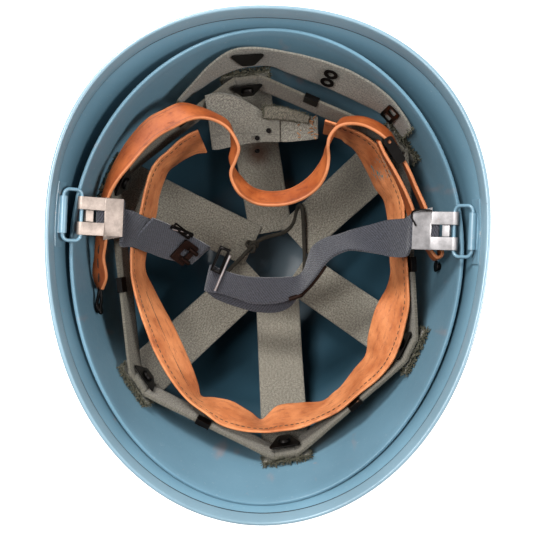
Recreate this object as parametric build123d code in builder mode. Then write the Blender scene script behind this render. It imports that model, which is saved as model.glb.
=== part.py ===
from build123d import *
from math import atan2, cos, copysign, pi, radians, sin
import os

os.makedirs("parts", exist_ok=True)

# A steel pot helmet with its liner, lying on its crown with the mouth open upward.
# X runs to the wearer's right, -Y to the visor, Z up out of the mouth, and the crown rests on Z = 0.

# Fits between separate pieces, and one overrun for all cuts
touch = 0.05
fit = 0.3
overrun = 6

# Steel pot
pot_height = 178
half_width = 120.7
visor_reach = 144.6
nape_reach = 142.5
pot_wall = 1.1
visor_drop = 14
nape_drop = 6
side_body = 109.6
front_body = 119.6
back_body = 120

# Liner
liner_gap = 0.8
liner_wall = 2.2
liner_height = 159
liner_half_width = 111.2
liner_visor_reach = 136
liner_nape_reach = 133.6
liner_visor_drop = 5
liner_nape_rise = 3

# How both shells open from the crown to the body, then flare to the rim
crown_rise = 150
crown_power = 2.3
flare_level = 70
flare_power = 3
flare_limit = 1.15
round_power = 2
pot_front_power = 1.96
pot_back_power = 2.16
liner_front_power = 1.94
liner_back_power = 1.98
body_middle = 9
pot_middle = 18.5
liner_middle = 9.2
drop_power = 2
front_straight = 30
back_straight = 40
plan_steps = 24
rim_steps = 10
crown_shares = (0.0027, 0.012, 0.034, 0.07, 0.125, 0.2, 0.3, 0.42)
flare_shares = (0.47, 0.58, 0.68, 0.77, 0.85, 0.915, 0.965, 1.012)

# Rim edging: a channel folded over the pot's edge
edging_wall = 0.6
edging_leg = 6

# Bails and the rolled brackets that hold them
bail_back = 23.6
hinge_reach = 113.2
hinge_level = 168.5
bail_length = 11.2
bail_width = 28.5
bail_wire = 2
bail_corner = 3.5
bail_drop_angle = 38.5
roll_radius = 2.2
roll_length = 20.5
bracket_length = 36
bracket_low = 163.5
bracket_high = 171.2

# Strap clips: a steel hairpin round the bail's bar
clip_drop_angle = 31
clip_width = 21.5
clip_length = 24
clip_wall = 0.9
clip_finger = 6.6
clip_window = 7
clip_bore = 1.35
clip_window_reach = 12

# Webbing and leather
webbing = 1.6
leather = 2
sweat_leather = 1.5
strip_steps = 3

# Crown arms and their fixings
arm_width = 29
arm_thick = 1.4
arm_inset = 2.7
arm_opening = 17
arm_step = 2.3
crown_side = 6.2
crown_back = 6.1
rivet_level = 115
arm_wall_levels = (124, 119, 114, 108)
arm_reach_shares = (0.9, 0.76, 0.6, 0.42, 0.2, 0)
arm_level_shares = (0.86, 0.72, 0.59, 0.49, 0.42, 0.39)
suspension_turn = 8.6
rivet_spread = 54
lace_radius = 1.4
knot_radius = 3.6

# Headband ring, washers and rivets
ring_level = 127
ring_height = 16
ring_inset = 5.4
ring_flat = 17
ring_taper = 16
ring_corner = 7
washer_inset = 9.2
washer_wide = 21
washer_tall = 15
washer_thick = 0.8
washer_lean = 65
washer_corner = 2
rivet_shaft = 1.5
rivet_head = 4
rivet_rise = 1.4
clip_plate = 0.9
headband_clip_width = 9
headband_clip_tall = 7
headband_clip_wall = 0.6
chord_shares = (0.45, 0.53, 0.4, 0.6, 0.45, 0.52)

# Chin strap hardware
buckle_long = 26
buckle_short = 13.5
buckle_wire = 1.1
buckle_rise = 0.85
hook_long = 13
hook_wide = 15
hook_thick = 1.1
hook_hole = 5
hook_toe = 1.5
slide_long = 17
slide_wide = 4
slide_slot = 1.8
tip_steps = 3
tip_wall = 0.6

# Fittings of the leather strap and the nape strap
stud_radius = 2.2
stud_head = 3.6
stud_level_shares = (1.04, 1)
stud_bearings = (197, 2)
hanger_thick = 0.9
slider_long = 17
slider_wide = 6
slider_hole = 2.2
eyelet_radius = 4.2
eyelet_hole = 1.9
eyelet_thick = 0.6
nape_wide = 21

# Edges of the strips, as shares of the pot's half width: a point of one edge, then of the other
leather_shares = (
    (-0.797, -0.153, 1.077, -0.830, -0.152, 0.976),
    (-0.770, -0.088, 1.110, -0.850, -0.082, 1.039),
    (-0.783, 0.003, 1.143, -0.842, 0.011, 1.054),
    (-0.771, 0.076, 1.176, -0.834, 0.075, 1.089),
    (-0.768, 0.176, 1.193, -0.822, 0.178, 1.100),
    (-0.769, 0.282, 1.185, -0.814, 0.291, 1.087),
    (-0.726, 0.368, 1.210, -0.779, 0.402, 1.122),
    (-0.663, 0.451, 1.210, -0.732, 0.503, 1.145),
    (-0.596, 0.536, 1.201, -0.675, 0.596, 1.160),
    (-0.531, 0.596, 1.201, -0.600, 0.678, 1.186),
    (-0.461, 0.638, 1.201, -0.521, 0.726, 1.186),
    (-0.391, 0.676, 1.201, -0.446, 0.763, 1.168),
    (-0.321, 0.690, 1.193, -0.362, 0.755, 1.118),
    (-0.249, 0.673, 1.185, -0.279, 0.728, 1.097),
    (-0.195, 0.633, 1.176, -0.210, 0.684, 1.083),
    (-0.154, 0.564, 1.160, -0.192, 0.584, 1.061),
    (-0.166, 0.503, 1.143, -0.200, 0.522, 1.043),
    (-0.189, 0.450, 1.127, -0.178, 0.471, 1.021),
    (-0.182, 0.399, 1.110, -0.142, 0.433, 1.016),
    (-0.141, 0.338, 1.094, -0.101, 0.395, 1.012),
    (-0.067, 0.301, 1.044, -0.051, 0.376, 0.969),
    (0.017, 0.294, 1.044, 0.015, 0.369, 0.966),
    (0.105, 0.307, 1.052, 0.089, 0.381, 0.976),
    (0.187, 0.345, 1.060, 0.152, 0.413, 0.985),
    (0.247, 0.399, 1.085, 0.204, 0.458, 1.006),
    (0.277, 0.466, 1.118, 0.241, 0.508, 1.026),
    (0.283, 0.533, 1.127, 0.264, 0.554, 1.023),
    (0.274, 0.587, 1.160, 0.275, 0.595, 1.052),
    (0.281, 0.635, 1.168, 0.306, 0.663, 1.067),
    (0.317, 0.678, 1.176, 0.337, 0.726, 1.082),
    (0.374, 0.694, 1.185, 0.389, 0.742, 1.090),
    (0.442, 0.690, 1.168, 0.459, 0.742, 1.076),
    (0.510, 0.658, 1.176, 0.528, 0.714, 1.086),
    (0.563, 0.615, 1.189, 0.582, 0.666, 1.096),
    (0.619, 0.555, 1.189, 0.621, 0.591, 1.087),
    (0.665, 0.485, 1.189, 0.659, 0.510, 1.084),
    (0.707, 0.401, 1.185, 0.703, 0.414, 1.078),
    (0.746, 0.320, 1.201, 0.743, 0.327, 1.094),
    (0.781, 0.240, 1.214, 0.774, 0.244, 1.106),
    (0.812, 0.155, 1.218, 0.806, 0.158, 1.110),
    (0.835, 0.114, 1.210, 0.834, 0.115, 1.102),
    (0.839, 0.085, 1.193, 0.838, 0.077, 1.086),
    (0.815, 0.075, 1.193, 0.814, 0.066, 1.086),
    (0.781, 0.112, 1.189, 0.784, 0.109, 1.081),
    (0.751, 0.154, 1.185, 0.748, 0.156, 1.077),
    (0.713, 0.248, 1.185, 0.695, 0.252, 1.079),
    (0.681, 0.328, 1.185, 0.667, 0.334, 1.078),
    (0.640, 0.408, 1.185, 0.629, 0.426, 1.079),
    (0.593, 0.487, 1.185, 0.581, 0.512, 1.081),
    (0.548, 0.558, 1.181, 0.539, 0.584, 1.076),
    (0.517, 0.619, 1.176, 0.518, 0.642, 1.071),
)
sweatband_shares = (
    (-0.362, 0.652, 1.052, -0.327, 0.570, 0.829),
    (-0.406, 0.631, 1.052, -0.379, 0.564, 0.823),
    (-0.449, 0.599, 1.052, -0.435, 0.536, 0.821),
    (-0.501, 0.549, 1.044, -0.481, 0.504, 0.809),
    (-0.554, 0.497, 1.044, -0.526, 0.466, 0.807),
    (-0.590, 0.432, 1.044, -0.549, 0.408, 0.808),
    (-0.611, 0.347, 1.044, -0.567, 0.330, 0.808),
    (-0.627, 0.257, 1.044, -0.579, 0.247, 0.809),
    (-0.652, 0.148, 1.044, -0.604, 0.127, 0.809),
    (-0.668, 0.048, 1.044, -0.626, 0.023, 0.809),
    (-0.663, -0.060, 1.044, -0.623, -0.060, 0.807),
    (-0.645, -0.148, 1.044, -0.572, -0.150, 0.815),
    (-0.611, -0.255, 1.044, -0.497, -0.275, 0.833),
    (-0.567, -0.367, 1.044, -0.424, -0.399, 0.854),
    (-0.513, -0.478, 1.044, -0.367, -0.514, 0.856),
    (-0.429, -0.602, 1.044, -0.329, -0.619, 0.826),
    (-0.346, -0.688, 1.044, -0.308, -0.690, 0.806),
    (-0.260, -0.748, 1.044, -0.239, -0.694, 0.811),
    (-0.174, -0.799, 1.044, -0.145, -0.709, 0.823),
    (-0.069, -0.819, 1.044, -0.051, -0.758, 0.812),
    (0.025, -0.820, 1.044, 0.013, -0.798, 0.805),
    (0.103, -0.812, 1.044, 0.092, -0.720, 0.822),
    (0.201, -0.793, 1.044, 0.204, -0.700, 0.823),
    (0.298, -0.750, 1.044, 0.318, -0.691, 0.812),
    (0.385, -0.702, 1.044, 0.381, -0.641, 0.806),
    (0.448, -0.649, 1.044, 0.415, -0.610, 0.809),
    (0.515, -0.588, 1.044, 0.475, -0.518, 0.822),
    (0.588, -0.520, 1.044, 0.533, -0.438, 0.828),
    (0.645, -0.444, 1.044, 0.541, -0.333, 0.858),
    (0.681, -0.349, 1.044, 0.560, -0.224, 0.878),
    (0.701, -0.249, 1.044, 0.590, -0.152, 0.854),
    (0.713, -0.154, 1.044, 0.626, -0.084, 0.833),
    (0.704, -0.055, 1.044, 0.646, -0.005, 0.815),
    (0.693, 0.046, 1.044, 0.640, 0.064, 0.810),
    (0.685, 0.141, 1.044, 0.630, 0.163, 0.811),
    (0.674, 0.248, 1.044, 0.620, 0.269, 0.810),
    (0.661, 0.351, 1.044, 0.594, 0.363, 0.814),
    (0.622, 0.448, 1.044, 0.539, 0.432, 0.819),
    (0.574, 0.535, 1.044, 0.488, 0.533, 0.820),
    (0.527, 0.607, 1.044, 0.433, 0.613, 0.823),
    (0.460, 0.657, 1.052, 0.379, 0.652, 0.826),
    (0.375, 0.693, 1.052, 0.354, 0.673, 0.814),
    (0.260, 0.727, 1.052, 0.265, 0.695, 0.814),
)
nape_shares = (
    (-0.458, 0.776, 1.143, -0.461, 0.798, 0.946),
    (-0.399, 0.839, 1.185, -0.378, 0.860, 0.990),
    (-0.328, 0.914, 1.234, -0.294, 0.910, 1.040),
    (-0.257, 0.972, 1.268, -0.216, 0.945, 1.073),
    (-0.197, 1.004, 1.284, -0.168, 0.960, 1.087),
    (-0.132, 1.014, 1.292, -0.127, 0.970, 1.095),
    (-0.061, 1.017, 1.292, -0.065, 0.977, 1.095),
    (0.005, 1.012, 1.284, -0.007, 0.975, 1.089),
    (0.071, 1.002, 1.276, 0.053, 0.954, 1.084),
    (0.142, 0.993, 1.268, 0.123, 0.933, 1.079),
    (0.214, 0.979, 1.259, 0.187, 0.912, 1.074),
    (0.285, 0.958, 1.259, 0.252, 0.890, 1.075),
    (0.358, 0.935, 1.251, 0.317, 0.865, 1.069),
    (0.421, 0.904, 1.251, 0.372, 0.843, 1.068),
    (0.484, 0.869, 1.251, 0.432, 0.816, 1.066),
    (0.541, 0.823, 1.259, 0.497, 0.789, 1.068),
    (0.591, 0.773, 1.259, 0.562, 0.752, 1.063),
    (0.631, 0.718, 1.259, 0.612, 0.703, 1.061),
    (0.663, 0.670, 1.243, 0.648, 0.658, 1.044),
)
left_strap_shares = (
    (-0.801, 0.278, 1.300, -0.801, 0.113, 1.300),
    (-0.744, 0.278, 1.266, -0.744, 0.113, 1.266),
    (-0.688, 0.278, 1.232, -0.688, 0.113, 1.232),
    (-0.703, 0.245, 1.201, -0.695, 0.064, 1.201),
    (-0.657, 0.236, 1.152, -0.664, 0.061, 1.152),
    (-0.609, 0.216, 1.098, -0.637, 0.059, 1.098),
    (-0.561, 0.201, 1.044, -0.609, 0.046, 1.044),
    (-0.512, 0.186, 0.986, -0.580, 0.038, 0.986),
    (-0.452, 0.161, 0.915, -0.538, 0.021, 0.911),
    (-0.385, 0.130, 0.841, -0.484, 0.008, 0.824),
    (-0.330, 0.102, 0.808, -0.426, 0.000, 0.783),
    (-0.304, 0.088, 0.795, -0.401, -0.004, 0.766),
    (-0.293, 0.086, 0.812, -0.389, -0.006, 0.783),
    (-0.312, 0.095, 0.833, -0.409, 0.001, 0.804),
    (-0.367, 0.125, 0.878, -0.470, 0.008, 0.866),
    (-0.439, 0.160, 0.953, -0.544, 0.025, 0.949),
    (-0.503, 0.189, 1.027, -0.606, 0.051, 1.027),
    (-0.560, 0.208, 1.098, -0.661, 0.082, 1.110),
)
right_strap_shares = (
    (0.801, 0.278, 1.300, 0.801, 0.113, 1.300),
    (0.744, 0.278, 1.266, 0.744, 0.113, 1.266),
    (0.688, 0.278, 1.232, 0.688, 0.113, 1.232),
    (0.658, 0.254, 1.201, 0.666, 0.071, 1.201),
    (0.581, 0.245, 1.131, 0.607, 0.067, 1.139),
    (0.501, 0.220, 1.073, 0.542, 0.079, 1.106),
    (0.419, 0.194, 1.015, 0.465, 0.090, 1.089),
    (0.349, 0.167, 0.965, 0.398, 0.093, 1.073),
    (0.287, 0.146, 0.924, 0.333, 0.061, 1.044),
    (0.234, 0.104, 0.895, 0.288, 0.015, 1.007),
    (0.213, 0.037, 0.874, 0.257, -0.037, 0.969),
    (0.195, -0.015, 0.862, 0.221, -0.089, 0.924),
    (0.161, -0.047, 0.853, 0.184, -0.133, 0.874),
    (0.110, -0.054, 0.845, 0.136, -0.167, 0.820),
    (0.049, -0.060, 0.837, 0.060, -0.192, 0.775),
    (-0.054, -0.064, 0.837, -0.054, -0.200, 0.762),
    (-0.142, -0.055, 0.833, -0.149, -0.175, 0.766),
    (-0.215, -0.035, 0.824, -0.233, -0.153, 0.779),
    (-0.262, -0.016, 0.816, -0.285, -0.150, 0.779),
    (-0.284, -0.009, 0.795, -0.312, -0.143, 0.758),
    (-0.269, -0.027, 0.771, -0.297, -0.157, 0.733),
    (-0.216, -0.064, 0.758, -0.250, -0.187, 0.717),
    (-0.142, -0.097, 0.754, -0.154, -0.220, 0.708),
    (-0.047, -0.114, 0.750, -0.042, -0.244, 0.704),
    (0.051, -0.105, 0.754, 0.068, -0.242, 0.713),
    (0.128, -0.070, 0.762, 0.140, -0.207, 0.729),
    (0.193, -0.026, 0.775, 0.164, -0.168, 0.750),
    (0.239, 0.005, 0.783, 0.173, -0.146, 0.762),
    (0.274, 0.027, 0.791, 0.182, -0.130, 0.775),
)
headband_strap_shares = (
    (-0.332, 0.814, 1.094, -0.304, 0.591, 0.795),
    (-0.299, 0.826, 1.085, -0.279, 0.592, 0.795),
    (-0.251, 0.836, 1.069, -0.247, 0.597, 0.804),
    (-0.174, 0.831, 1.002, -0.196, 0.608, 0.816),
    (-0.110, 0.813, 0.915, -0.134, 0.620, 0.827),
    (-0.043, 0.784, 0.886, -0.047, 0.632, 0.842),
    (0.039, 0.763, 0.882, 0.045, 0.635, 0.848),
)
headband_tab_shares = (
    (0.233, 0.772, 0.878, 0.239, 0.658, 0.853),
    (0.141, 0.764, 0.872, 0.153, 0.646, 0.841),
    (0.050, 0.756, 0.862, 0.066, 0.638, 0.830),
    (-0.021, 0.754, 0.857, -0.006, 0.641, 0.825),
    (-0.083, 0.747, 0.853, -0.068, 0.634, 0.820),
)
headband_loop_shares = (
    (-0.044, 0.806, 0.908, -0.047, 0.747, 0.897),
    (0.012, 0.809, 0.908, 0.004, 0.744, 0.897),
    (0.078, 0.802, 0.905, 0.071, 0.742, 0.892),
    (0.140, 0.785, 0.901, 0.132, 0.735, 0.888),
    (0.191, 0.766, 0.903, 0.183, 0.732, 0.891),
)
lace_shares = (
    (-0.219, -0.051, 0.447),
    (-0.145, 0.030, 0.423),
    (-0.082, 0.105, 0.414),
    (-0.006, 0.153, 0.414),
    (0.093, 0.168, 0.423),
    (0.156, 0.236, 0.435),
    (0.174, 0.325, 0.452),
    (0.194, 0.249, 0.435),
    (0.205, 0.150, 0.406),
    (0.215, 0.040, 0.406),
    (0.213, -0.066, 0.427),
)

pot = dict(
    base=-crown_shares[0] * crown_rise,
    body=(side_body, front_body, back_body),
    rim=(half_width, visor_reach, nape_reach),
    edge=(pot_height, pot_height - visor_drop, pot_height - nape_drop),
    middle=pot_middle,
    powers=(pot_front_power, pot_back_power),
)
inset = pot_wall + liner_gap
liner = dict(
    base=inset + pot["base"],
    body=(side_body - inset, front_body - inset, back_body - inset),
    rim=(liner_half_width, liner_visor_reach, liner_nape_reach),
    edge=(liner_height, liner_height - liner_visor_drop, liner_height + liner_nape_rise),
    middle=liner_middle,
    powers=(liner_front_power, liner_back_power),
)


def opened(level, base):
    """Share of the body's reach that the crown has opened to at a level."""
    left = max(0, 1 - (level - base) / crown_rise)
    return max(0, 1 - left**crown_power) ** (1 / crown_power)


def flared(level, edge):
    """Share of the flare that a wall has taken up at a level."""
    return max(0, (level - flare_level) / (edge - flare_level)) ** flare_power


def wall_point(shell, level, turn, grow=0):
    """Point of a shell's outline at a level, in plan."""
    base = shell["base"] - grow
    share = opened(level, base)
    reaches = []
    for body, rim, edge in zip(shell["body"], shell["rim"], shell["edge"]):
        reaches.append((body + grow) * share + (rim - body) * flared(level, edge))
    side, front, back = reaches
    flare = min(flare_limit, flared(level, shell["edge"][1]))
    middle = body_middle * share + (shell["middle"] - body_middle) * flare
    behind = sin(turn) > 0
    power = round_power + (shell["powers"][behind] - round_power) * flare
    length = back - middle if behind else front + middle
    across = copysign(abs(cos(turn)) ** (2 / power), cos(turn))
    along = copysign(abs(sin(turn)) ** (2 / power), sin(turn))
    return side * across, middle + length * along


def wall_at(shell, level, bearing, grow=0):
    """Point of a shell's outline on a bearing from the middle, found by halving."""
    low = bearing - pi / 4
    high = bearing + pi / 4
    for _ in range(40):
        turn = (low + high) / 2
        x, y = wall_point(shell, level, turn, grow)
        miss = (atan2(y, x) - bearing + pi) % (2 * pi) - pi
        if miss < 0:
            low = turn
        else:
            high = turn
    return x, y


def plan_face(shell, level, grow):
    """Level face inside a shell's outline."""
    turns = [2 * pi * step / plan_steps for step in range(plan_steps)]
    with BuildSketch(Plane.XY.offset(level)) as plan:
        with BuildLine():
            Spline([wall_point(shell, level, turn, grow) for turn in turns], periodic=True)
        make_face()
    return plan.sketch.face()


def bowl(shell, grow, mode=Mode.ADD, low=-crown_rise):
    """Solid inside a shell's surface above a level, open mouth and crown flat included."""
    base = shell["base"] - grow
    levels = [base + share * crown_rise for share in crown_shares]
    levels += [share * pot_height for share in flare_shares]
    levels = [level for level in levels if level > low]
    loft([plan_face(shell, level, grow) for level in levels], ruled=True, mode=mode)


def rim_line(crest, front_drop, back_drop):
    """Side view of a rim: straight at the ears, falling to the visor and the nape."""
    points = []
    reach = half_width + 8 * overrun
    for step in range(-rim_steps, rim_steps + 1):
        along = reach * step / rim_steps
        ahead = max(0, -along - front_straight) / (visor_reach - front_straight)
        behind = max(0, along - back_straight) / (nape_reach - back_straight)
        points.append((along, crest - front_drop * ahead**drop_power - back_drop * behind**drop_power))
    return points


def cut_beyond(points, level):
    """Takes away all that lies between a rim line and a level."""
    with BuildSketch(Plane.YZ) as side:
        with BuildLine():
            Spline(points)
            Polyline(points[-1], (points[-1][0], level), (points[0][0], level), points[0])
        make_face()
    extrude(side.sketch, amount=2 * half_width, both=True, mode=Mode.SUBTRACT)


def smooth(rows, steps=strip_steps):
    """Rows of numbers with the rows between them filled in along a smooth curve."""
    filled = []
    for index in range(len(rows) - 1):
        before = rows[max(index - 1, 0)]
        start = rows[index]
        end = rows[index + 1]
        after = rows[min(index + 2, len(rows) - 1)]
        for step in range(steps):
            t = step / steps
            row = []
            for a, b, c, d in zip(before, start, end, after):
                bend = (2 * a - 5 * b + 4 * c - d) * t**2 + (3 * b - a - 3 * c + d) * t**3
                row.append(b + ((c - a) * t + bend) / 2)
            filled.append(row)
    filled.append(rows[-1])
    return filled


def strip(rows, thick, steps=strip_steps, mode=Mode.ADD):
    """A flat strip between two edges, each row holding a point of either edge."""
    rows = smooth(rows, steps)
    firsts = [Vector(*row[:3]) for row in rows]
    seconds = [Vector(*row[3:]) for row in rows]
    last = len(rows) - 1
    faces = []
    for index in range(len(rows)):
        behind = max(index - 1, 0)
        ahead = min(index + 1, last)
        travel = firsts[ahead] + seconds[ahead] - firsts[behind] - seconds[behind]
        across = seconds[index] - firsts[index]
        out = travel.cross(across).normalized() * (thick / 2)
        corners = [firsts[index] + out, seconds[index] + out, seconds[index] - out, firsts[index] - out]
        faces.append(Face(Wire.make_polygon(corners)))
    loft(faces, ruled=True, mode=mode)


def shared(rows):
    """Rows of shares of the pot's half width, turned into lengths."""
    return [[value * half_width for value in row] for row in rows]


def strip_place(shares, index, across=0, out=0):
    """Plane on a strip at one of its rows: X along it, Y across it, Z out of its face."""
    rows = shared(shares)
    first = Vector(*rows[index][:3])
    second = Vector(*rows[index][3:])
    before = rows[max(index - 1, 0)]
    after = rows[min(index + 1, len(rows) - 1)]
    travel = Vector(*after[:3]) + Vector(*after[3:]) - Vector(*before[:3]) - Vector(*before[3:])
    width = (second - first).normalized()
    normal = travel.cross(width).normalized()
    origin = (first + second) / 2 + width * across + normal * out
    return Plane(origin=origin, x_dir=width.cross(normal), z_dir=normal)


def wire_loop(place, length, half, corner, radius):
    """A closed wire loop: one bar through the plane's origin, the other a length away along X."""
    with BuildLine(place) as bend:
        FilletPolyline((0, 0), (0, half), (length, half), (length, 0), radius=corner)
    path = bend.wire()
    with BuildSketch(Plane(origin=path @ 0, z_dir=path % 0)) as profile:
        Circle(radius)
    sweep(profile.sketch, path=path)
    mirror(about=Plane(origin=place.origin, x_dir=place.x_dir, z_dir=place.y_dir))


def save(piece, name):
    """Names a finished piece and writes it."""
    piece.part.label = name
    export_step(piece.part, f"parts/{name}.step")


pot_rim = rim_line(pot_height, visor_drop, nape_drop)
liner_rim = rim_line(liner_height, liner_visor_drop, -liner_nape_rise)
lid = 1.2 * pot_height


def shifted(points, rise):
    return [(along, level + rise) for along, level in points]


# Steel pot shell, pressed from one sheet, with a small worn flat at the crown
with BuildPart() as pot_shell:
    bowl(pot, 0)
    bowl(pot, -pot_wall, Mode.SUBTRACT)
    cut_beyond(pot_rim, lid)
save(pot_shell, "pot_shell")

# Room for the pot's edge inside the edging
brim_low = pot_height - visor_drop - 3 * edging_leg
with BuildPart() as edge_slot:
    bowl(pot, touch, low=brim_low)
    bowl(pot, -pot_wall - touch, Mode.SUBTRACT, brim_low)
    cut_beyond(shifted(pot_rim, touch), lid)

# Edging folded over the rim all the way round
with BuildPart() as rim_edging:
    bowl(pot, touch + edging_wall, low=brim_low)
    bowl(pot, -pot_wall - touch - edging_wall, Mode.SUBTRACT, brim_low)
    cut_beyond(shifted(pot_rim, touch + edging_wall), lid)
    cut_beyond(shifted(pot_rim, -edging_leg), brim_low - overrun)
    add(edge_slot.part, mode=Mode.SUBTRACT)
save(rim_edging, "rim_edging")


# Places of the six fixings on the liner's inner wall
def wall_frame(bearing, level, depth):
    """Plane on the liner's inner wall: X level along the wall, Z inward from it."""
    x, y = wall_at(liner, level, bearing, -liner_wall)
    x1, y1 = wall_at(liner, level, bearing - pi / 90, -liner_wall)
    x2, y2 = wall_at(liner, level, bearing + pi / 90, -liner_wall)
    x3, y3 = wall_at(liner, level + pot_wall, bearing, -liner_wall)
    level_line = Vector(x2 - x1, y2 - y1, 0).normalized()
    rising = Vector(x3 - x, y3 - y, pot_wall).normalized()
    inward = level_line.cross(rising).normalized()
    if inward.X * x + inward.Y * y > 0:
        inward = -inward
    return Plane(origin=Vector(x, y, level) + inward * depth, x_dir=level_line, z_dir=inward)


spreads = (0, rivet_spread, 180 - rivet_spread, 180, 180 + rivet_spread, -rivet_spread)
bearings = [radians(90 + suspension_turn + spread) for spread in spreads]
head_depth = washer_inset + washer_thick + fit

with BuildPart() as rivet_holes:
    for bearing in bearings:
        with BuildSketch(wall_frame(bearing, rivet_level, -2 * liner_wall)):
            Circle(rivet_shaft + fit / 2)
        extrude(amount=2 * liner_wall + head_depth)

# Liner shell, standing inside the pot
with BuildPart() as liner_shell:
    bowl(liner, 0)
    bowl(liner, -liner_wall, Mode.SUBTRACT)
    cut_beyond(liner_rim, lid)
    add(rivet_holes.part, mode=Mode.SUBTRACT)
save(liner_shell, "liner_shell")

# Rivets: shaft through the liner, the arm, the ring and the washer, with a round head inside
with BuildPart() as suspension_rivets:
    for bearing in bearings:
        with BuildSketch(wall_frame(bearing, rivet_level, -liner_wall)):
            Circle(rivet_shaft)
        extrude(amount=liner_wall + head_depth)
        with BuildSketch(wall_frame(bearing, rivet_level, head_depth)):
            Circle(rivet_head)
        extrude(amount=rivet_rise, taper=30)
save(suspension_rivets, "suspension_rivets")

# Black washers like a broad letter A, one under each rivet head
with BuildPart() as a_washers:
    for bearing in bearings:
        with BuildSketch(wall_frame(bearing, rivet_level, washer_inset)) as plate:
            Trapezoid(washer_wide, washer_tall, washer_lean)
            fillet(plate.vertices(), washer_corner)
        extrude(amount=washer_thick)
    add(rivet_holes.part, mode=Mode.SUBTRACT)
save(a_washers, "a_washers")

# Headband ring: one webbing strip, flat at each fixing and straight between them
ring_corners = []
for bearing in bearings:
    flat = wall_frame(bearing, ring_level, ring_inset)
    for half in (-ring_flat / 2, ring_flat / 2):
        corner = flat.origin + flat.x_dir * half
        ring_corners.append((corner.X, corner.Y))
ring_corners.sort(key=lambda corner: atan2(corner[1], corner[0]))

with BuildPart() as headband_ring:
    with BuildSketch(Plane.XY.offset(ring_level)) as outside:
        with BuildLine():
            Polyline(ring_corners, close=True)
        make_face()
        fillet(outside.vertices(), ring_corner)
    extrude(amount=-ring_height, taper=ring_taper)
    with BuildSketch(Plane.XY.offset(ring_level)):
        add(outside.sketch)
        offset(amount=-webbing, mode=Mode.REPLACE)
    extrude(amount=-ring_height, taper=ring_taper, mode=Mode.SUBTRACT)
    add(rivet_holes.part, mode=Mode.SUBTRACT)
save(headband_ring, "headband_ring")

# Crown arms: folded over the ring at the wall, hanging in to the opening in the middle
arm_names = ("back", "back_left", "front_left", "front", "front_right", "back_right")
for index, bearing in enumerate(bearings):
    rise = arm_step * (index % 2)
    rows = []
    for level in arm_wall_levels:
        place = wall_frame(bearing, level, arm_inset)
        reach = place.x_dir * (arm_width / 2)
        first = place.origin + reach
        second = place.origin - reach
        rows.append([*first, *second])
    foot = place.origin
    away = Vector(foot.X - crown_side, foot.Y - crown_back, 0)
    reach = Vector(-away.Y, away.X, 0).normalized() * (arm_width / 2)
    if reach.dot(place.x_dir) < 0:
        reach = -reach
    for along, level in zip(arm_reach_shares, arm_level_shares):
        out = away.normalized() * (arm_opening + along * (away.length - arm_opening))
        middle = Vector(crown_side, crown_back, level * foot.Z + rise * min(1, 2 - 2 * along))
        rows.append([*(middle + out + reach), *(middle + out - reach)])
    with BuildPart() as crown_arm:
        strip(rows, arm_thick)
        add(rivet_holes.part, mode=Mode.SUBTRACT)
    save(crown_arm, f"crown_arm_{arm_names[index]}")

# Crown lace: one cord over the arms' ends, with its knot beside the opening
with BuildPart() as crown_lace:
    with BuildLine() as route:
        Spline([Vector(*row) for row in shared(lace_shares)])
    with BuildSketch(Plane(origin=route.line @ 0, z_dir=route.line % 0)):
        Circle(lace_radius)
    sweep(path=route.line)
    with Locations(Vector(*shared(lace_shares)[2])):
        Sphere(knot_radius)
save(crown_lace, "crown_lace")

# Sweatband: leather, hung inside the ring and leaning in to the head
with BuildPart() as sweatband:
    strip(shared(sweatband_shares), sweat_leather, 2)
save(sweatband, "sweatband")

# Two rivets that join the headband's rear webbing, in holes of their own
def tab_rivets(radius):
    """Round posts through the tab."""
    for index, across in ((3, 0), (4, rivet_head)):
        place = strip_place(headband_tab_shares, index, across)
        with BuildSketch(place.offset(webbing)) as post:
            Circle(radius)
        extrude(post.sketch, amount=2 * webbing, both=True)


with BuildPart() as headband_rivets:
    tab_rivets(rivet_shaft)
save(headband_rivets, "headband_rivets")

with BuildPart() as tab_holes:
    tab_rivets(rivet_shaft + fit / 2)

# Rear webbing of the headband
for name, rows in (
    ("headband_strap", headband_strap_shares),
    ("headband_tab", headband_tab_shares),
    ("headband_loop", headband_loop_shares),
):
    with BuildPart() as piece:
        strip(shared(rows), webbing)
        if name != "headband_loop":
            add(tab_holes.part, mode=Mode.SUBTRACT)
    save(piece, name)

# Nape strap and leather chin strap of the liner
with BuildPart() as nape_strap:
    strip(shared(nape_shares), webbing)
save(nape_strap, "nape_strap")

with BuildPart() as liner_chinstrap:
    strip(shared(leather_shares), leather, 2)
save(liner_chinstrap, "liner_chinstrap")


def hinge_frame(side):
    """Plane of a bail: X inward and down from its hinge, Y to the nape, Z up and inward."""
    lean = radians(bail_drop_angle)
    inward = Vector(-side * cos(lean), 0, -sin(lean))
    origin = (side * hinge_reach, bail_back, hinge_level)
    return Plane(origin=origin, x_dir=inward, z_dir=inward.cross(Vector(0, -side, 0)))


def clip_frame(side):
    """Plane across a clip at the bail's bar: X inward and down, Y square to the clip's leaves."""
    bar = hinge_frame(side).from_local_coords(Vector(bail_length, 0, 0))
    lean = radians(clip_drop_angle)
    inward = Vector(-side * cos(lean), 0, -sin(lean))
    return Plane(origin=bar, x_dir=inward, z_dir=(0, side, 0))


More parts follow.
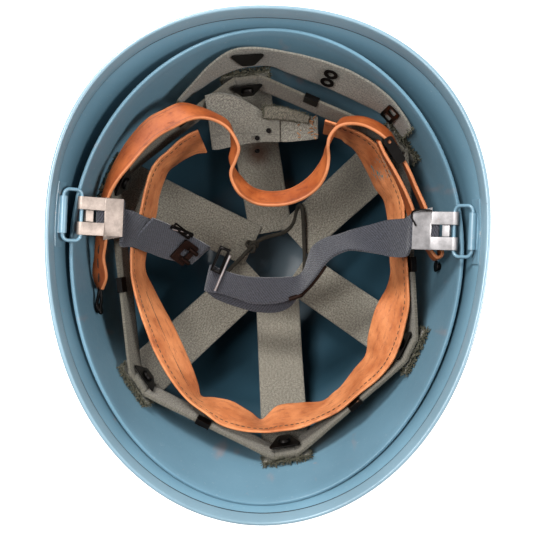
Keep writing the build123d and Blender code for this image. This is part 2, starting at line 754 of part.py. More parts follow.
for side, name in ((-1, "left"), (1, "right")):
    # Bracket: a plate spot welded under the edging, with a roll that holds the bail
    wide = bracket_high - bracket_low
    with BuildPart() as bracket:
        bowl(pot, -pot_wall - touch, low=brim_low)
        bowl(pot, -pot_wall - touch - clip_plate, Mode.SUBTRACT, brim_low)
        with Locations((side * half_width, bail_back, (bracket_low + bracket_high) / 2)):
            Box(half_width, bracket_length, wide, mode=Mode.INTERSECT)
        with BuildSketch(Plane.XZ.offset(-bail_back)):
            with Locations((side * hinge_reach, hinge_level)):
                Circle(roll_radius)
            with Locations((side * (hinge_reach + roll_radius), hinge_level)):
                Rectangle(2 * roll_radius, clip_plate)
        extrude(amount=roll_length / 2, both=True)
        with BuildSketch(Plane.XZ.offset(-bail_back)):
            with Locations((side * hinge_reach, hinge_level)):
                Circle(bail_wire / 2 + fit)
        extrude(amount=roll_length, both=True, mode=Mode.SUBTRACT)
        bowl(pot, -pot_wall - touch, Mode.INTERSECT, brim_low)
    save(bracket, f"{name}_bail_bracket")

    # Bail: a wire loop free to turn in the roll
    with BuildPart() as bail:
        wire_loop(hinge_frame(side), bail_length, bail_width / 2, bail_corner, bail_wire / 2)
    save(bail, f"{name}_bail")

    # Clip: a steel hairpin round the bail's bar, gripping the strap's end between its leaves
    leaf = clip_bore + clip_wall
    with BuildPart() as clip:
        with BuildSketch(clip_frame(side)):
            Circle(leaf)
            with Locations((clip_length / 2, 0)):
                Rectangle(clip_length, 2 * leaf)
            Circle(clip_bore, mode=Mode.SUBTRACT)
            with Locations((clip_length / 2 + clip_wall, 0)):
                Rectangle(clip_length, 2 * clip_bore, mode=Mode.SUBTRACT)
        extrude(amount=clip_width / 2, both=True)
        with BuildSketch(clip_frame(side)):
            with Locations((clip_window_reach, 0)):
                Rectangle(clip_window, 4 * leaf)
            with Locations((-leaf, 0)):
                Rectangle(4 * leaf, 4 * leaf)
        extrude(amount=clip_finger / 2, both=True, mode=Mode.SUBTRACT)
    save(clip, f"{name}_strap_clip")

    # Webbing half of the pot's chin strap
    rows = left_strap_shares if side < 0 else right_strap_shares
    with BuildPart() as webbing_half:
        strip(shared(rows), webbing, 2)
    save(webbing_half, f"{name}_strap_webbing")


def widened(rows, more):
    """Rows of a strip with both edges moved outward."""
    wide_rows = []
    for row in rows:
        first = Vector(*row[:3])
        second = Vector(*row[3:])
        out = (second - first).normalized() * more
        wide_rows.append([*(first - out), *(second + out)])
    return wide_rows


def strip_end(shares, index):
    """Points of both edges of a strip at one of its rows."""
    row = shared(shares)[index]
    return Vector(*row[:3]), Vector(*row[3:])


# Hook plate and slide on the left half
lift = webbing / 2 + 3 * fit
with BuildPart() as strap_hook:
    place = strip_place(left_strap_shares, 14, hook_toe, lift)
    with BuildSketch(place):
        RectangleRounded(hook_long, hook_wide, hook_toe)
        Rectangle(hook_hole, hook_hole, mode=Mode.SUBTRACT)
    extrude(amount=hook_thick)
    for end in (-1, 1):
        with BuildSketch(Plane(origin=place.origin, x_dir=place.y_dir, z_dir=place.x_dir)):
            with Locations((end * hook_wide / 4, hook_thick)):
                Circle(hook_toe)
        extrude(amount=-hook_long / 2 - hook_toe)
        with BuildSketch(place):
            Rectangle(hook_hole, hook_hole)
        extrude(amount=4 * hook_toe, both=True, mode=Mode.SUBTRACT)
save(strap_hook, "strap_hook")

with BuildPart() as strap_slide:
    with BuildSketch(strip_place(left_strap_shares, 15, -(hook_wide + slide_wide) / 2 - 4 * fit, lift)):
        RectangleRounded(slide_long, slide_wide, slide_slot / 2)
        with GridLocations(slide_long / 2, 0, 2, 1):
            Rectangle(slide_long / 3, slide_slot, mode=Mode.SUBTRACT)
    extrude(amount=clip_wall)
save(strap_slide, "strap_slide")

# Buckle: a wire frame standing on edge, one bar of it inside the strap's loop
upper_first, upper_second = strip_end(right_strap_shares, 18)
lower_first, lower_second = strip_end(right_strap_shares, 20)
bar_end = (upper_second + lower_second) / 2
bar_way = ((upper_first + lower_first) / 2 - bar_end).normalized()
rising = Vector(cos(buckle_rise), 0, sin(buckle_rise))
short_way = (rising - bar_way * rising.dot(bar_way)).normalized()
with BuildPart() as strap_buckle:
    middle = bar_end + bar_way * (buckle_long / 2 - 2 * buckle_wire)
    place = Plane(origin=middle, x_dir=short_way, z_dir=short_way.cross(bar_way))
    half_long = buckle_long / 2 - buckle_wire
    wire_loop(place, buckle_short - 2 * buckle_wire, half_long, 2 * buckle_wire, buckle_wire)
save(strap_buckle, "strap_buckle")

# Brass tip crimped on the strap's free end: a sleeve that follows the webbing
tip_rows = smooth(shared(right_strap_shares), 2)[-tip_steps:]
with BuildPart() as strap_tip:
    strip(widened(tip_rows, 2 * fit + tip_wall), webbing + 2 * fit + 2 * tip_wall, 1)
    strip(widened(tip_rows, 2 * fit), webbing + 2 * fit, 1, Mode.SUBTRACT)
save(strap_tip, "strap_tip")

# Small clips folded over the ring's top edge, one on each straight side
sides = list(zip(ring_corners, ring_corners[1:] + ring_corners[:1]))
chords = [(Vector(*a, ring_level), Vector(*b, ring_level)) for a, b in sides]
chords = [(a, b) for a, b in chords if (b - a).length > 2 * ring_flat]
lean = radians(ring_taper)
with BuildPart() as headband_clips:
    for (start, end), share in zip(chords, chord_shares):
        along = (end - start).normalized()
        outward = along.cross(Vector(0, 0, 1))
        spot = start + (end - start) * share - outward * (webbing / 2)
        up = Vector(0, 0, cos(lean)) + outward * sin(lean)
        wide = webbing + 2 * fit + 2 * headband_clip_wall
        with BuildSketch(Plane(origin=spot, x_dir=along, z_dir=up).offset(fit + headband_clip_wall)):
            Rectangle(headband_clip_width, wide)
        extrude(amount=-headband_clip_tall)
        with BuildSketch(Plane(origin=spot, x_dir=along, z_dir=up).offset(fit)):
            Rectangle(2 * headband_clip_width, webbing + 2 * fit)
        extrude(amount=-headband_clip_tall, mode=Mode.SUBTRACT)
save(headband_clips, "headband_clips")

# Nape strap fittings: a washer plate, two eyelets and a buckle
with BuildPart() as nape_washer:
    with BuildSketch(strip_place(nape_shares, 5, 0, -lift)) as plate:
        Trapezoid(washer_wide, washer_tall, washer_lean)
        fillet(plate.vertices(), washer_corner)
    extrude(amount=-washer_thick)
save(nape_washer, "nape_washer")

with BuildPart() as nape_eyelets:
    for across in (-eyelet_radius - fit, eyelet_radius + fit):
        with BuildSketch(strip_place(nape_shares, 11, across, -lift)):
            Circle(eyelet_radius)
            Circle(eyelet_hole, mode=Mode.SUBTRACT)
        extrude(amount=-eyelet_thick)
save(nape_eyelets, "nape_eyelets")

with BuildPart() as nape_buckle:
    with BuildSketch(strip_place(nape_shares, 16, 0, -lift)):
        RectangleRounded(headband_clip_width, nape_wide, slide_slot)
        with GridLocations(0, nape_wide / 2, 1, 2):
            Rectangle(headband_clip_width / 2, nape_wide / 3, mode=Mode.SUBTRACT)
    extrude(amount=-washer_thick)
save(nape_buckle, "nape_buckle")

# Studs on the liner's wall for the leather strap, with a hanger plate on each
with BuildPart() as garter_studs:
    for degrees_round, share in zip(stud_bearings, stud_level_shares):
        place = wall_frame(radians(degrees_round), share * half_width, fit)
        with BuildSketch(place):
            Circle(stud_radius)
        extrude(amount=stud_radius)
        with BuildSketch(place.offset(stud_radius)):
            Circle(stud_head)
        extrude(amount=hanger_thick, taper=20)
save(garter_studs, "garter_studs")

# Slider plate on the leather strap
with BuildPart() as leather_slider:
    first, second = strip_end(leather_shares, 33)
    after_first = strip_end(leather_shares, 36)[0]
    spot = Vector(first.X, first.Y, after_first.Z + leather - 2 * fit)
    way = Vector(after_first.X - first.X, after_first.Y - first.Y, 0)
    with BuildSketch(Plane(origin=spot, x_dir=way, z_dir=(0, 0, 1))):
        with Locations((slider_long / 3, 0)):
            RectangleRounded(slider_long, slider_wide, slider_wide / 3)
        Circle(slider_hole / 2, mode=Mode.SUBTRACT)
    extrude(amount=hanger_thick)
save(leather_slider, "leather_slider")
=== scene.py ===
# %% [markdown]
# # A steel pot helmet, lying on its crown
# The helmet is a pressed steel shell with a second, lighter shell nested inside it.
# Webbing arms hang from rivets on the liner's wall and are drawn together by a lace at
# the crown. A leather sweatband hangs from a webbing ring, and two straps cross the mouth.
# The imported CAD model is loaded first: it says where everything is, in metres, and no
# piece of it is moved. Everything made below stands where the CAD piece stands.

# %% Load the frame
from math import atan2, copysign, cos, pi, radians, sin, tan

import bmesh
import bpy
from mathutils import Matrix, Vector, noise


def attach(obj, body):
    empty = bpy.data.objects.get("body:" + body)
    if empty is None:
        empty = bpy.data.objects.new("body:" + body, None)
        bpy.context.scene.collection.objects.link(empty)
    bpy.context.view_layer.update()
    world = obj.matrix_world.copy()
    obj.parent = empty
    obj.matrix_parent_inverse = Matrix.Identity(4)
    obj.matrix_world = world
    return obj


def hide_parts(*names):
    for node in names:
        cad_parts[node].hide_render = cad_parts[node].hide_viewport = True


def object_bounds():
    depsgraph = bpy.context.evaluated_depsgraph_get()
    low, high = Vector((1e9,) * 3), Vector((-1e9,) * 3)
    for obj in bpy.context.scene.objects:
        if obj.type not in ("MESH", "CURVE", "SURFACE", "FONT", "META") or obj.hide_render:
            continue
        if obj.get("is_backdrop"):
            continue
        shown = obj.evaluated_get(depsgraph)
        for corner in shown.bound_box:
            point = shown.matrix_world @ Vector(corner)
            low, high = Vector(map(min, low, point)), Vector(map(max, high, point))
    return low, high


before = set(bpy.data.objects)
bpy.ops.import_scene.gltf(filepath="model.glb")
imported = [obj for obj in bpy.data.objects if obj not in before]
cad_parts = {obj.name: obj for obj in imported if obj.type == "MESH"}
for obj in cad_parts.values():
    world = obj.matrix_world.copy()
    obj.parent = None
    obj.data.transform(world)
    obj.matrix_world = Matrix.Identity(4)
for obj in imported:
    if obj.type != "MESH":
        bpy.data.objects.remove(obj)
cad_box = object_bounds()
mm = 0.001

# %% [markdown]
# ## Camera
# The photograph looks straight down into the mouth from a little over half a metre above
# the rim, and the helmet lies a couple of degrees off square. A camera that looks along -Z
# needs no aiming: only its height, its lens and that small turn are set.

# %% Camera
camera_height = 728 * mm
camera_turn = radians(2.4)
image_side = 533
focal_pixels = 1012
sensor = 36
shift_pixels = (0.5, -1)

camera_data = bpy.data.cameras.new("camera")
camera_data.sensor_width = sensor
camera_data.lens = sensor * focal_pixels / image_side
camera = bpy.data.objects.new("camera", camera_data)
camera.location = (0, 0, camera_height)
camera.rotation_euler = (0, 0, camera_turn)
camera_data.shift_x = shift_pixels[0] / image_side
camera_data.shift_y = shift_pixels[1] / image_side
bpy.context.scene.collection.objects.link(camera)
bpy.context.scene.camera = camera
bpy.context.scene.view_settings.view_transform = "Standard"
print("lens", round(camera_data.lens, 2), "mm")

# %% [markdown]
# ## Shader helpers
# A material is a small program. These helpers add a node, set its inputs and join links,
# so that each material below reads as a list of decisions and not as wiring.

# %% Shader helpers
def add_node(tree, kind, **inputs):
    """A shader node with some of its inputs set or linked, named by their labels."""
    made = tree.nodes.new(kind)
    for label, value in inputs.items():
        socket = made.inputs[int(label[1:])] if label[0] == "_" else made.inputs[label.replace("_", " ")]
        if isinstance(value, bpy.types.NodeSocket):
            tree.links.new(value, socket)
        else:
            socket.default_value = value
    return made


def sum_of(tree, operation, first, second=0.0, third=0.0, clamp=False):
    """One step of arithmetic on numbers or sockets."""
    made = add_node(tree, "ShaderNodeMath", _0=first, _1=second, _2=third)
    made.operation = operation
    made.use_clamp = clamp
    return made.outputs[0]


def mixed(tree, factor, first, second):
    """A blend of two colours."""
    made = tree.nodes.new("ShaderNodeMix")
    made.data_type = "RGBA"
    for socket, value in zip((made.inputs[0], made.inputs[6], made.inputs[7]), (factor, first, second)):
        if isinstance(value, bpy.types.NodeSocket):
            tree.links.new(value, socket)
        else:
            socket.default_value = value if isinstance(value, (int, float)) else (*value, 1)
    return made.outputs[2]


def ramp(tree, value, low, high):
    """0 below low, 1 above high, straight between."""
    made = add_node(tree, "ShaderNodeMapRange", Value=value, From_Min=low, From_Max=high)
    made.clamp = True
    return made.outputs[0]


def speckle(tree, place, scale, detail=4.0, rough=0.6):
    """Soft noise about 0.5."""
    made = add_node(tree, "ShaderNodeTexNoise", Vector=place, Scale=scale, Detail=detail, Roughness=rough)
    return made.outputs[0]


def object_place(tree):
    """The piece's own coordinates, in metres."""
    return tree.nodes.new("ShaderNodeTexCoord").outputs["Object"]


def cloth_place(tree):
    """The piece's own UV map, which holds metres along and across."""
    return tree.nodes.new("ShaderNodeTexCoord").outputs["UV"]


def finish_material(name, slot_name, build, **constants):
    """A Principled material: build(tree, shader) makes what changes over the surface."""
    material = bpy.data.materials.new(name)
    material.use_nodes = True
    tree = material.node_tree
    shader = next(n for n in tree.nodes if n.type == "BSDF_PRINCIPLED")
    for label, value in constants.items():
        shader.inputs[label.replace("_", " ")].default_value = value
    build(tree, shader)
    material["slot_name"] = slot_name
    return material


def connect(tree, shader, color, rough, height, distance, strength=1.0, metallic=None):
    """Feeds the sockets that change over the surface. Distance is how deep the bumps are."""
    tree.links.new(color, shader.inputs["Base Color"])
    tree.links.new(rough, shader.inputs["Roughness"])
    if metallic is not None:
        tree.links.new(metallic, shader.inputs["Metallic"])
    bump = add_node(tree, "ShaderNodeBump", Height=height, Distance=distance, Strength=strength)
    tree.links.new(bump.outputs[0], shader.inputs["Normal"])


def effect_group(name, inputs, outputs, build):
    """A reusable node group with named inputs and outputs."""
    tree = bpy.data.node_groups.new(name, "ShaderNodeTree")
    for label, kind, value in inputs:
        socket = tree.interface.new_socket(label, in_out="INPUT", socket_type=kind)
        if value is not None:
            socket.default_value = value
    for label, kind in outputs:
        tree.interface.new_socket(label, in_out="OUTPUT", socket_type=kind)
    start = tree.nodes.new("NodeGroupInput")
    end = tree.nodes.new("NodeGroupOutput")
    for label, socket in build(tree, start.outputs).items():
        tree.links.new(socket, end.inputs[label])
    return tree


def use_group(tree, group, **inputs):
    """Places a node group with its own values, and gives its outputs."""
    made = tree.nodes.new("ShaderNodeGroup")
    made.node_tree = group
    for label, value in inputs.items():
        socket = made.inputs[label.replace("_", " ")]
        if isinstance(value, bpy.types.NodeSocket):
            tree.links.new(value, socket)
        else:
            socket.default_value = value
    return made.outputs


print("shader helpers ready")

# %% [markdown]
# ## Colour helpers
# Paint, cloth and leather are all built up the same way: a base colour, then dust, soil or
# rubbing laid over it where a mask is white. A mark that the photograph shows at one place,
# such as a rust stain, is kept to that place by its distance in plan.

# %% Colour helpers
def scaled(color, factor):
    return tuple(part * factor for part in color)


def laid_over(tree, mask, amount, under, over):
    """Lays a colour over another where a mask is white, by an amount."""
    return mixed(tree, sum_of(tree, "MULTIPLY", mask, amount), under, over)


def wave_of(tree, turns):
    """A sine wave from 0 to 1, one for each whole turn."""
    swing = sum_of(tree, "SINE", sum_of(tree, "MULTIPLY", turns, 2 * pi))
    return sum_of(tree, "MULTIPLY_ADD", swing, 0.5, 0.5)


def plan_distance(tree, place):
    """Distance from a place as seen from above, so that a mark needs no exact height."""
    flat = add_node(tree, "ShaderNodeVectorMath", _0=object_place(tree), _1=(1, 1, 0))
    flat.operation = "MULTIPLY"
    away = add_node(tree, "ShaderNodeVectorMath", _0=flat.outputs[0], _1=place)
    away.operation = "DISTANCE"
    return away.outputs["Value"]


print("colour helpers ready")

# %% [markdown]
# ## Effects that several finishes share
# Webbing is woven in a herringbone: fine diagonal ribs whose slope flips from one narrow
# band to the next. Worn patches are noise cut off at a level. Leather grain is a net of
# small cells. Each is a node group, so that every cloth, leather or paint can use it at its
# own scale. They read metres, from the piece's UV map or from its own coordinates.

# %% Weave, wear and grain groups
def weave_nodes(tree, given):
    """Slanting ribs and fine yarns, with fluff and uneven threads over them."""
    split = add_node(tree, "ShaderNodeSeparateXYZ", Vector=given["Place"])
    along, across = split.outputs[0], split.outputs[1]
    zigzag = sum_of(tree, "PINGPONG", sum_of(tree, "DIVIDE", across, given["Band"]), 1.0)
    lean = sum_of(tree, "MULTIPLY", sum_of(tree, "MULTIPLY", zigzag, given["Band"]), given["Slope"])
    ribs = wave_of(tree, sum_of(tree, "DIVIDE", sum_of(tree, "ADD", along, lean), given["Pitch"]))
    yarns = wave_of(tree, sum_of(tree, "DIVIDE", across, given["Yarn"]))
    fluff = ramp(tree, speckle(tree, given["Place"], 1700.0, 3.0, 0.7), 0.36, 0.64)
    height = sum_of(tree, "ADD", sum_of(tree, "MULTIPLY", ribs, 0.4), sum_of(tree, "MULTIPLY", yarns, 0.2))
    height = sum_of(tree, "MULTIPLY_ADD", fluff, 0.55, height)
    slub = ramp(tree, speckle(tree, given["Place"], 860.0, 3.0, 0.75), 0.42, 0.6)
    shade = sum_of(tree, "MULTIPLY_ADD", slub, 0.55, sum_of(tree, "MULTIPLY", height, 0.45))
    ribbed = sum_of(tree, "MULTIPLY_ADD", slub, 0.25, sum_of(tree, "MULTIPLY", ribs, 0.75))
    plain_part = sum_of(tree, "MULTIPLY", shade, sum_of(tree, "SUBTRACT", 1.0, given["Ribbing"]))
    shade = sum_of(tree, "MULTIPLY_ADD", ribbed, given["Ribbing"], plain_part)
    return {"Height": height, "Shade": sum_of(tree, "MULTIPLY", shade, 0.95, clamp=True)}


weave = effect_group(
    "weave",
    [
        ("Place", "NodeSocketVector", None),
        ("Pitch", "NodeSocketFloat", 1.1 * mm),
        ("Band", "NodeSocketFloat", 3.2 * mm),
        ("Slope", "NodeSocketFloat", 1.0),
        ("Yarn", "NodeSocketFloat", 0.55 * mm),
        ("Ribbing", "NodeSocketFloat", 0.0),
    ],
    [("Height", "NodeSocketFloat"), ("Shade", "NodeSocketFloat")],
    weave_nodes,
)


def wear_nodes(tree, given):
    """Ragged patches: two noises added and cut off at a level."""
    broad = speckle(tree, given["Place"], given["Scale"], 6.0, 0.65)
    fine = speckle(tree, given["Place"], 900.0, 3.0, 0.7)
    both = sum_of(tree, "MULTIPLY_ADD", fine, 0.35, broad)
    return {"Mask": ramp(tree, both, given["Level"], sum_of(tree, "ADD", given["Level"], 0.08))}


wear = effect_group(
    "wear",
    [
        ("Place", "NodeSocketVector", None),
        ("Scale", "NodeSocketFloat", 60.0),
        ("Level", "NodeSocketFloat", 0.8),
    ],
    [("Mask", "NodeSocketFloat")],
    wear_nodes,
)


def grain_nodes(tree, given):
    """A net of small cells with pores, and broad blotches for the colour."""
    cells = add_node(tree, "ShaderNodeTexVoronoi", Vector=given["Place"], Scale=given["Scale"])
    cells.feature = "DISTANCE_TO_EDGE"
    creases = sum_of(tree, "MULTIPLY", cells.outputs[0], 2.2, clamp=True)
    pores = speckle(tree, given["Place"], 3000.0, 2.0, 0.6)
    return {
        "Height": sum_of(tree, "MULTIPLY_ADD", pores, 0.3, creases),
        "Blotch": speckle(tree, given["Place"], 45.0, 5.0, 0.6),
    }


grain = effect_group(
    "grain",
    [("Place", "NodeSocketVector", None), ("Scale", "NodeSocketFloat", 1100.0)],
    [("Height", "NodeSocketFloat"), ("Blotch", "NodeSocketFloat")],
    grain_nodes,
)
print("groups", weave.name, wear.name, grain.name)

# %% [markdown]
# ## Paint
# Both shells carry the same slate blue enamel. Enamel is a coloured layer with a thin gloss
# over it, so the base is half rough and a coat adds the highlight. It is never one flat
# colour: it fades in broad clouds, fine dust lies on it, and the liner's wall shows a few
# pink-brown streaks where the suspension has rubbed. Low in the bowl, and deep between the
# two shells, the paint is darkened nearly black and dull: painted shade, where little light reaches.

# %% Enamel finishes
def enamel(color, worn_color, level, streaks=0.0, painted_shade=0.0, unshaded_level=122 * mm, black=50 * mm, lined=False):
    """Enamel with clouds, fine dust, chips that bare the undercoat and rubbed streaks.
    The shade amount darkens it from the first level down to the second: painted shade.
    A lined surface reads those two levels from its profile map."""

    def build(tree, shader):
        place = object_place(tree)
        cloud = ramp(tree, speckle(tree, place, 14.0, 5.0, 0.55), 0.32, 0.68)
        pale = tuple(min(1, part * 1.1 + 0.006) for part in color)
        painted = mixed(tree, cloud, scaled(color, 0.9), pale)
        dust = ramp(tree, speckle(tree, place, 420.0, 3.0, 0.7), 0.62, 0.8)
        painted = laid_over(tree, dust, 0.22, painted, (0.5, 0.55, 0.57))
        chips = use_group(tree, wear, Place=place, Scale=95.0, Level=level)["Mask"]
        painted = laid_over(tree, chips, 0.7, painted, worn_color)
        if streaks:
            split = add_node(tree, "ShaderNodeSeparateXYZ", Vector=place)
            drawn_out = sum_of(tree, "MULTIPLY", split.outputs[2], 0.16)
            tall = add_node(tree, "ShaderNodeCombineXYZ", X=split.outputs[0], Y=split.outputs[1], Z=drawn_out)
            rubbed = ramp(tree, speckle(tree, tall.outputs[0], 75.0, 3.0, 0.5), 0.66, 0.78)
            painted = laid_over(tree, rubbed, streaks, painted, worn_color)
        # Painted shade: towards the bottom the paint darkens to nearly black, where little light reaches.
        if painted_shade:
            where = add_node(tree, "ShaderNodeSeparateXYZ", Vector=cloth_place(tree) if lined else place)
            low = ramp(tree, where.outputs[1 if lined else 2], unshaded_level, black)
            painted_shade_color = (color[0] * 0.09, color[1] * 0.15, color[2] * 0.17)
            painted = laid_over(tree, low, painted_shade, painted, painted_shade_color)
        fine = speckle(tree, place, 260.0, 4.0, 0.6)
        rough = sum_of(tree, "MULTIPLY_ADD", fine, 0.22, 0.24)
        rough = sum_of(tree, "MULTIPLY_ADD", chips, 0.2, rough)
        height = sum_of(tree, "MULTIPLY_ADD", chips, -0.6, fine)
        connect(tree, shader, painted, rough, height, 0.03 * mm, 0.5)

    return build


bare_undercoat = (0.34, 0.22, 0.19)
pot_blue = (0.15, 0.275, 0.352)
pot_enamel = finish_material(
    "pot_enamel",
    "pot_paint",
    enamel(pot_blue, bare_undercoat, 0.86),
    Coat_Weight=0.2,
    Coat_Roughness=0.14,
    Specular_IOR_Level=0.35,
)
# The liner's paint darkens low in the bowl: painted shade.
liner_enamel = finish_material(
    "liner_enamel",
    "liner_paint",
    enamel((0.118, 0.22, 0.285), bare_undercoat, 0.86, streaks=0.4, painted_shade=0.95),
    Coat_Weight=0.06,
    Coat_Roughness=0.1,
    Specular_IOR_Level=0.16,
)
# The edging's enamel is paler than the pot's: that extra paleness is painted highlight on the flared rim.
edging_enamel = finish_material(
    "edging_enamel",
    "edging_paint",
    enamel((0.19, 0.3, 0.365), (0.06, 0.07, 0.075), 0.86),
    Coat_Weight=0.35,
    Coat_Roughness=0.18,
)
# The pot's wall behind the liner darkens further down: painted shade.
shaded_pot_lining = finish_material(
    "shaded_pot_lining",
    "pot_paint",
    enamel(pot_blue, bare_undercoat, 0.86, painted_shade=0.6, unshaded_level=0.05, black=0.42, lined=True),
    Coat_Weight=0.1,
    Specular_IOR_Level=0.15,
)
# A near-black enamel for the thin line under the edging's leg: painted shade.
seam_shade = finish_material(
    "seam_shade", "edging_paint", enamel((0.02, 0.036, 0.045), (0.05, 0.04, 0.03), 0.7)
)
bail_enamel = finish_material(
    "bail_enamel",
    "bail_paint",
    enamel((0.125, 0.235, 0.305), (0.45, 0.42, 0.4), 0.78),
    Coat_Weight=0.3,
    Coat_Roughness=0.2,
)
print("enamels", pot_enamel.name, liner_enamel.name, edging_enamel.name, bail_enamel.name)

# %% [markdown]
# ## Metals
# The clips are bare sheet steel, scuffed in all directions and stained pinkish brown. The
# small fittings are blackened: where they rub, the black goes and brown metal shows. Both
# use noise for the stains and a finer noise for the roughness, because a metal's finish
# shows mostly in how sharply it reflects.

# %% Metal finishes
def metal(color, stain, level, rough_low, rough_high, bare=0.0):
    """Bare or blackened metal: stains by noise, and a roughness that wanders."""

    def build(tree, shader):
        place = object_place(tree)
        marks = use_group(tree, wear, Place=place, Scale=130.0, Level=level)["Mask"]
        cloud = ramp(tree, speckle(tree, place, 160.0, 5.0, 0.65), 0.35, 0.7)
        surface = mixed(tree, cloud, scaled(color, 0.62), color)
        surface = mixed(tree, marks, surface, stain)
        fine = speckle(tree, place, 1400.0, 3.0, 0.7)
        rough = sum_of(tree, "MULTIPLY_ADD", fine, rough_high - rough_low, rough_low)
        shine = sum_of(tree, "MULTIPLY_ADD", marks, bare, 1.0 - bare, clamp=True)
        connect(tree, shader, surface, rough, fine, 0.03 * mm, 0.6, shine)

    return build


warm_steel = finish_material(
    "warm_steel", "clip_steel", metal((0.44, 0.365, 0.32), (0.26, 0.18, 0.15), 0.84, 0.45, 0.75)
)
grey_steel = finish_material(
    "grey_steel", "clip_steel", metal((0.43, 0.41, 0.41), (0.28, 0.22, 0.2), 0.84, 0.45, 0.75)
)
black_metal = finish_material(
    "black_metal", "black_metal", metal((0.006, 0.005, 0.0045), (0.1, 0.05, 0.03), 0.86, 0.28, 0.5, bare=0.1)
)
brown_brass = finish_material(
    "brown_brass", "brown_brass", metal((0.034, 0.02, 0.016), (0.34, 0.22, 0.17), 0.85, 0.3, 0.55)
)
bright_wire = finish_material(
    "bright_wire", "bright_wire", metal((0.62, 0.56, 0.55), (0.36, 0.27, 0.25), 0.8, 0.3, 0.5)
)
print("metals", warm_steel.name, grey_steel.name, black_metal.name, brown_brass.name, bright_wire.name)

# %% [markdown]
# ## Cloth
# Webbing reads its own UV map, in metres along and across the strap, so the ribs follow
# every turn of it. Its edges are a little darker, where they are rubbed and dirty. The arms
# and straps are a fluffy herringbone; the slate webbing shows its slanting ribs more. The
# rivet on the rear arm has left a rust stain, so that arm has a finish of its own.

# %% Cloth finishes
def cloth(color, width, contrast=0.86, rust=None, depth=0.26 * mm, **ribs):
    """Webbing of one width, with a rust stain round a place if one is given.
    ribs are inputs of the weave group: Pitch, Band, Slope and Ribbing."""

    def build(tree, shader):
        place = cloth_place(tree)
        woven = use_group(tree, weave, Place=place, **ribs)
        surface = mixed(tree, woven["Shade"], scaled(color, 1 - contrast), scaled(color, 1 + 0.55 * contrast))
        soil = ramp(tree, speckle(tree, place, 70.0, 5.0, 0.6), 0.35, 0.75)
        surface = laid_over(tree, soil, 0.3, surface, scaled(color, 0.55))
        split = add_node(tree, "ShaderNodeSeparateXYZ", Vector=place)
        from_edge = sum_of(tree, "PINGPONG", split.outputs[1], width / 2)
        edge = ramp(tree, from_edge, 0.9 * mm, 0.2 * mm)
        surface = laid_over(tree, edge, 0.45, surface, scaled(color, 0.35))
        if rust:
            away = plan_distance(tree, rust)
            ragged = sum_of(tree, "MULTIPLY_ADD", speckle(tree, place, 300.0), 6 * mm, away)
            stain = ramp(tree, ragged, 14 * mm, 6 * mm)
            surface = laid_over(tree, stain, 0.95, surface, (0.055, 0.022, 0.009))
        rough = sum_of(tree, "MULTIPLY_ADD", woven["Shade"], -0.12, 0.95)
        connect(tree, shader, surface, rough, woven["Height"], depth, 0.9)

    return build


herringbone = {"Pitch": 1.5 * mm, "Band": 3.4 * mm, "Slope": 1.0, "Ribbing": 0.1}
twill = {"Pitch": 1.7 * mm, "Band": 40 * mm, "Slope": 0.7, "Ribbing": 0.6}
arm_width = 29 * mm
nape_width = 24 * mm
chin_width = 20 * mm
ring_width = 16 * mm
olive = (0.235, 0.215, 0.17)
rust_place = (-8.2 * mm, 74 * mm, 0)
olive_arm = finish_material(
    "olive_arm_webbing", "olive_webbing", cloth(olive, arm_width, **herringbone), Sheen_Weight=0.2
)
rusty_arm = finish_material(
    "rusty_arm_webbing",
    "olive_webbing",
    cloth(olive, arm_width, rust=rust_place, **herringbone),
    Sheen_Weight=0.2,
)
olive_strap = finish_material(
    "olive_strap_webbing",
    "olive_webbing",
    cloth((0.25, 0.232, 0.19), nape_width, **herringbone),
    Sheen_Weight=0.2,
)
ring_cloth = finish_material(
    "dark_ring_webbing",
    "dark_webbing",
    cloth((0.17, 0.152, 0.115), ring_width, **herringbone),
    Sheen_Weight=0.15,
)
slate_cloth = finish_material(
    "slate_webbing",
    "slate_webbing",
    cloth((0.035, 0.036, 0.049), chin_width, contrast=0.97, depth=0.35 * mm, **twill),
    Sheen_Weight=0.25,
)
print("cloths", olive_arm.name, rusty_arm.name, olive_strap.name, ring_cloth.name, slate_cloth.name)

# %% [markdown]
# ## Leather
# Leather has a net of fine creases over a blotchy tan, and longer folds where it has been
# bent. The narrow strap also has pale cut edges with a pressed groove beside them. A few
# flecks of old paint sit on the sweatband at one place.

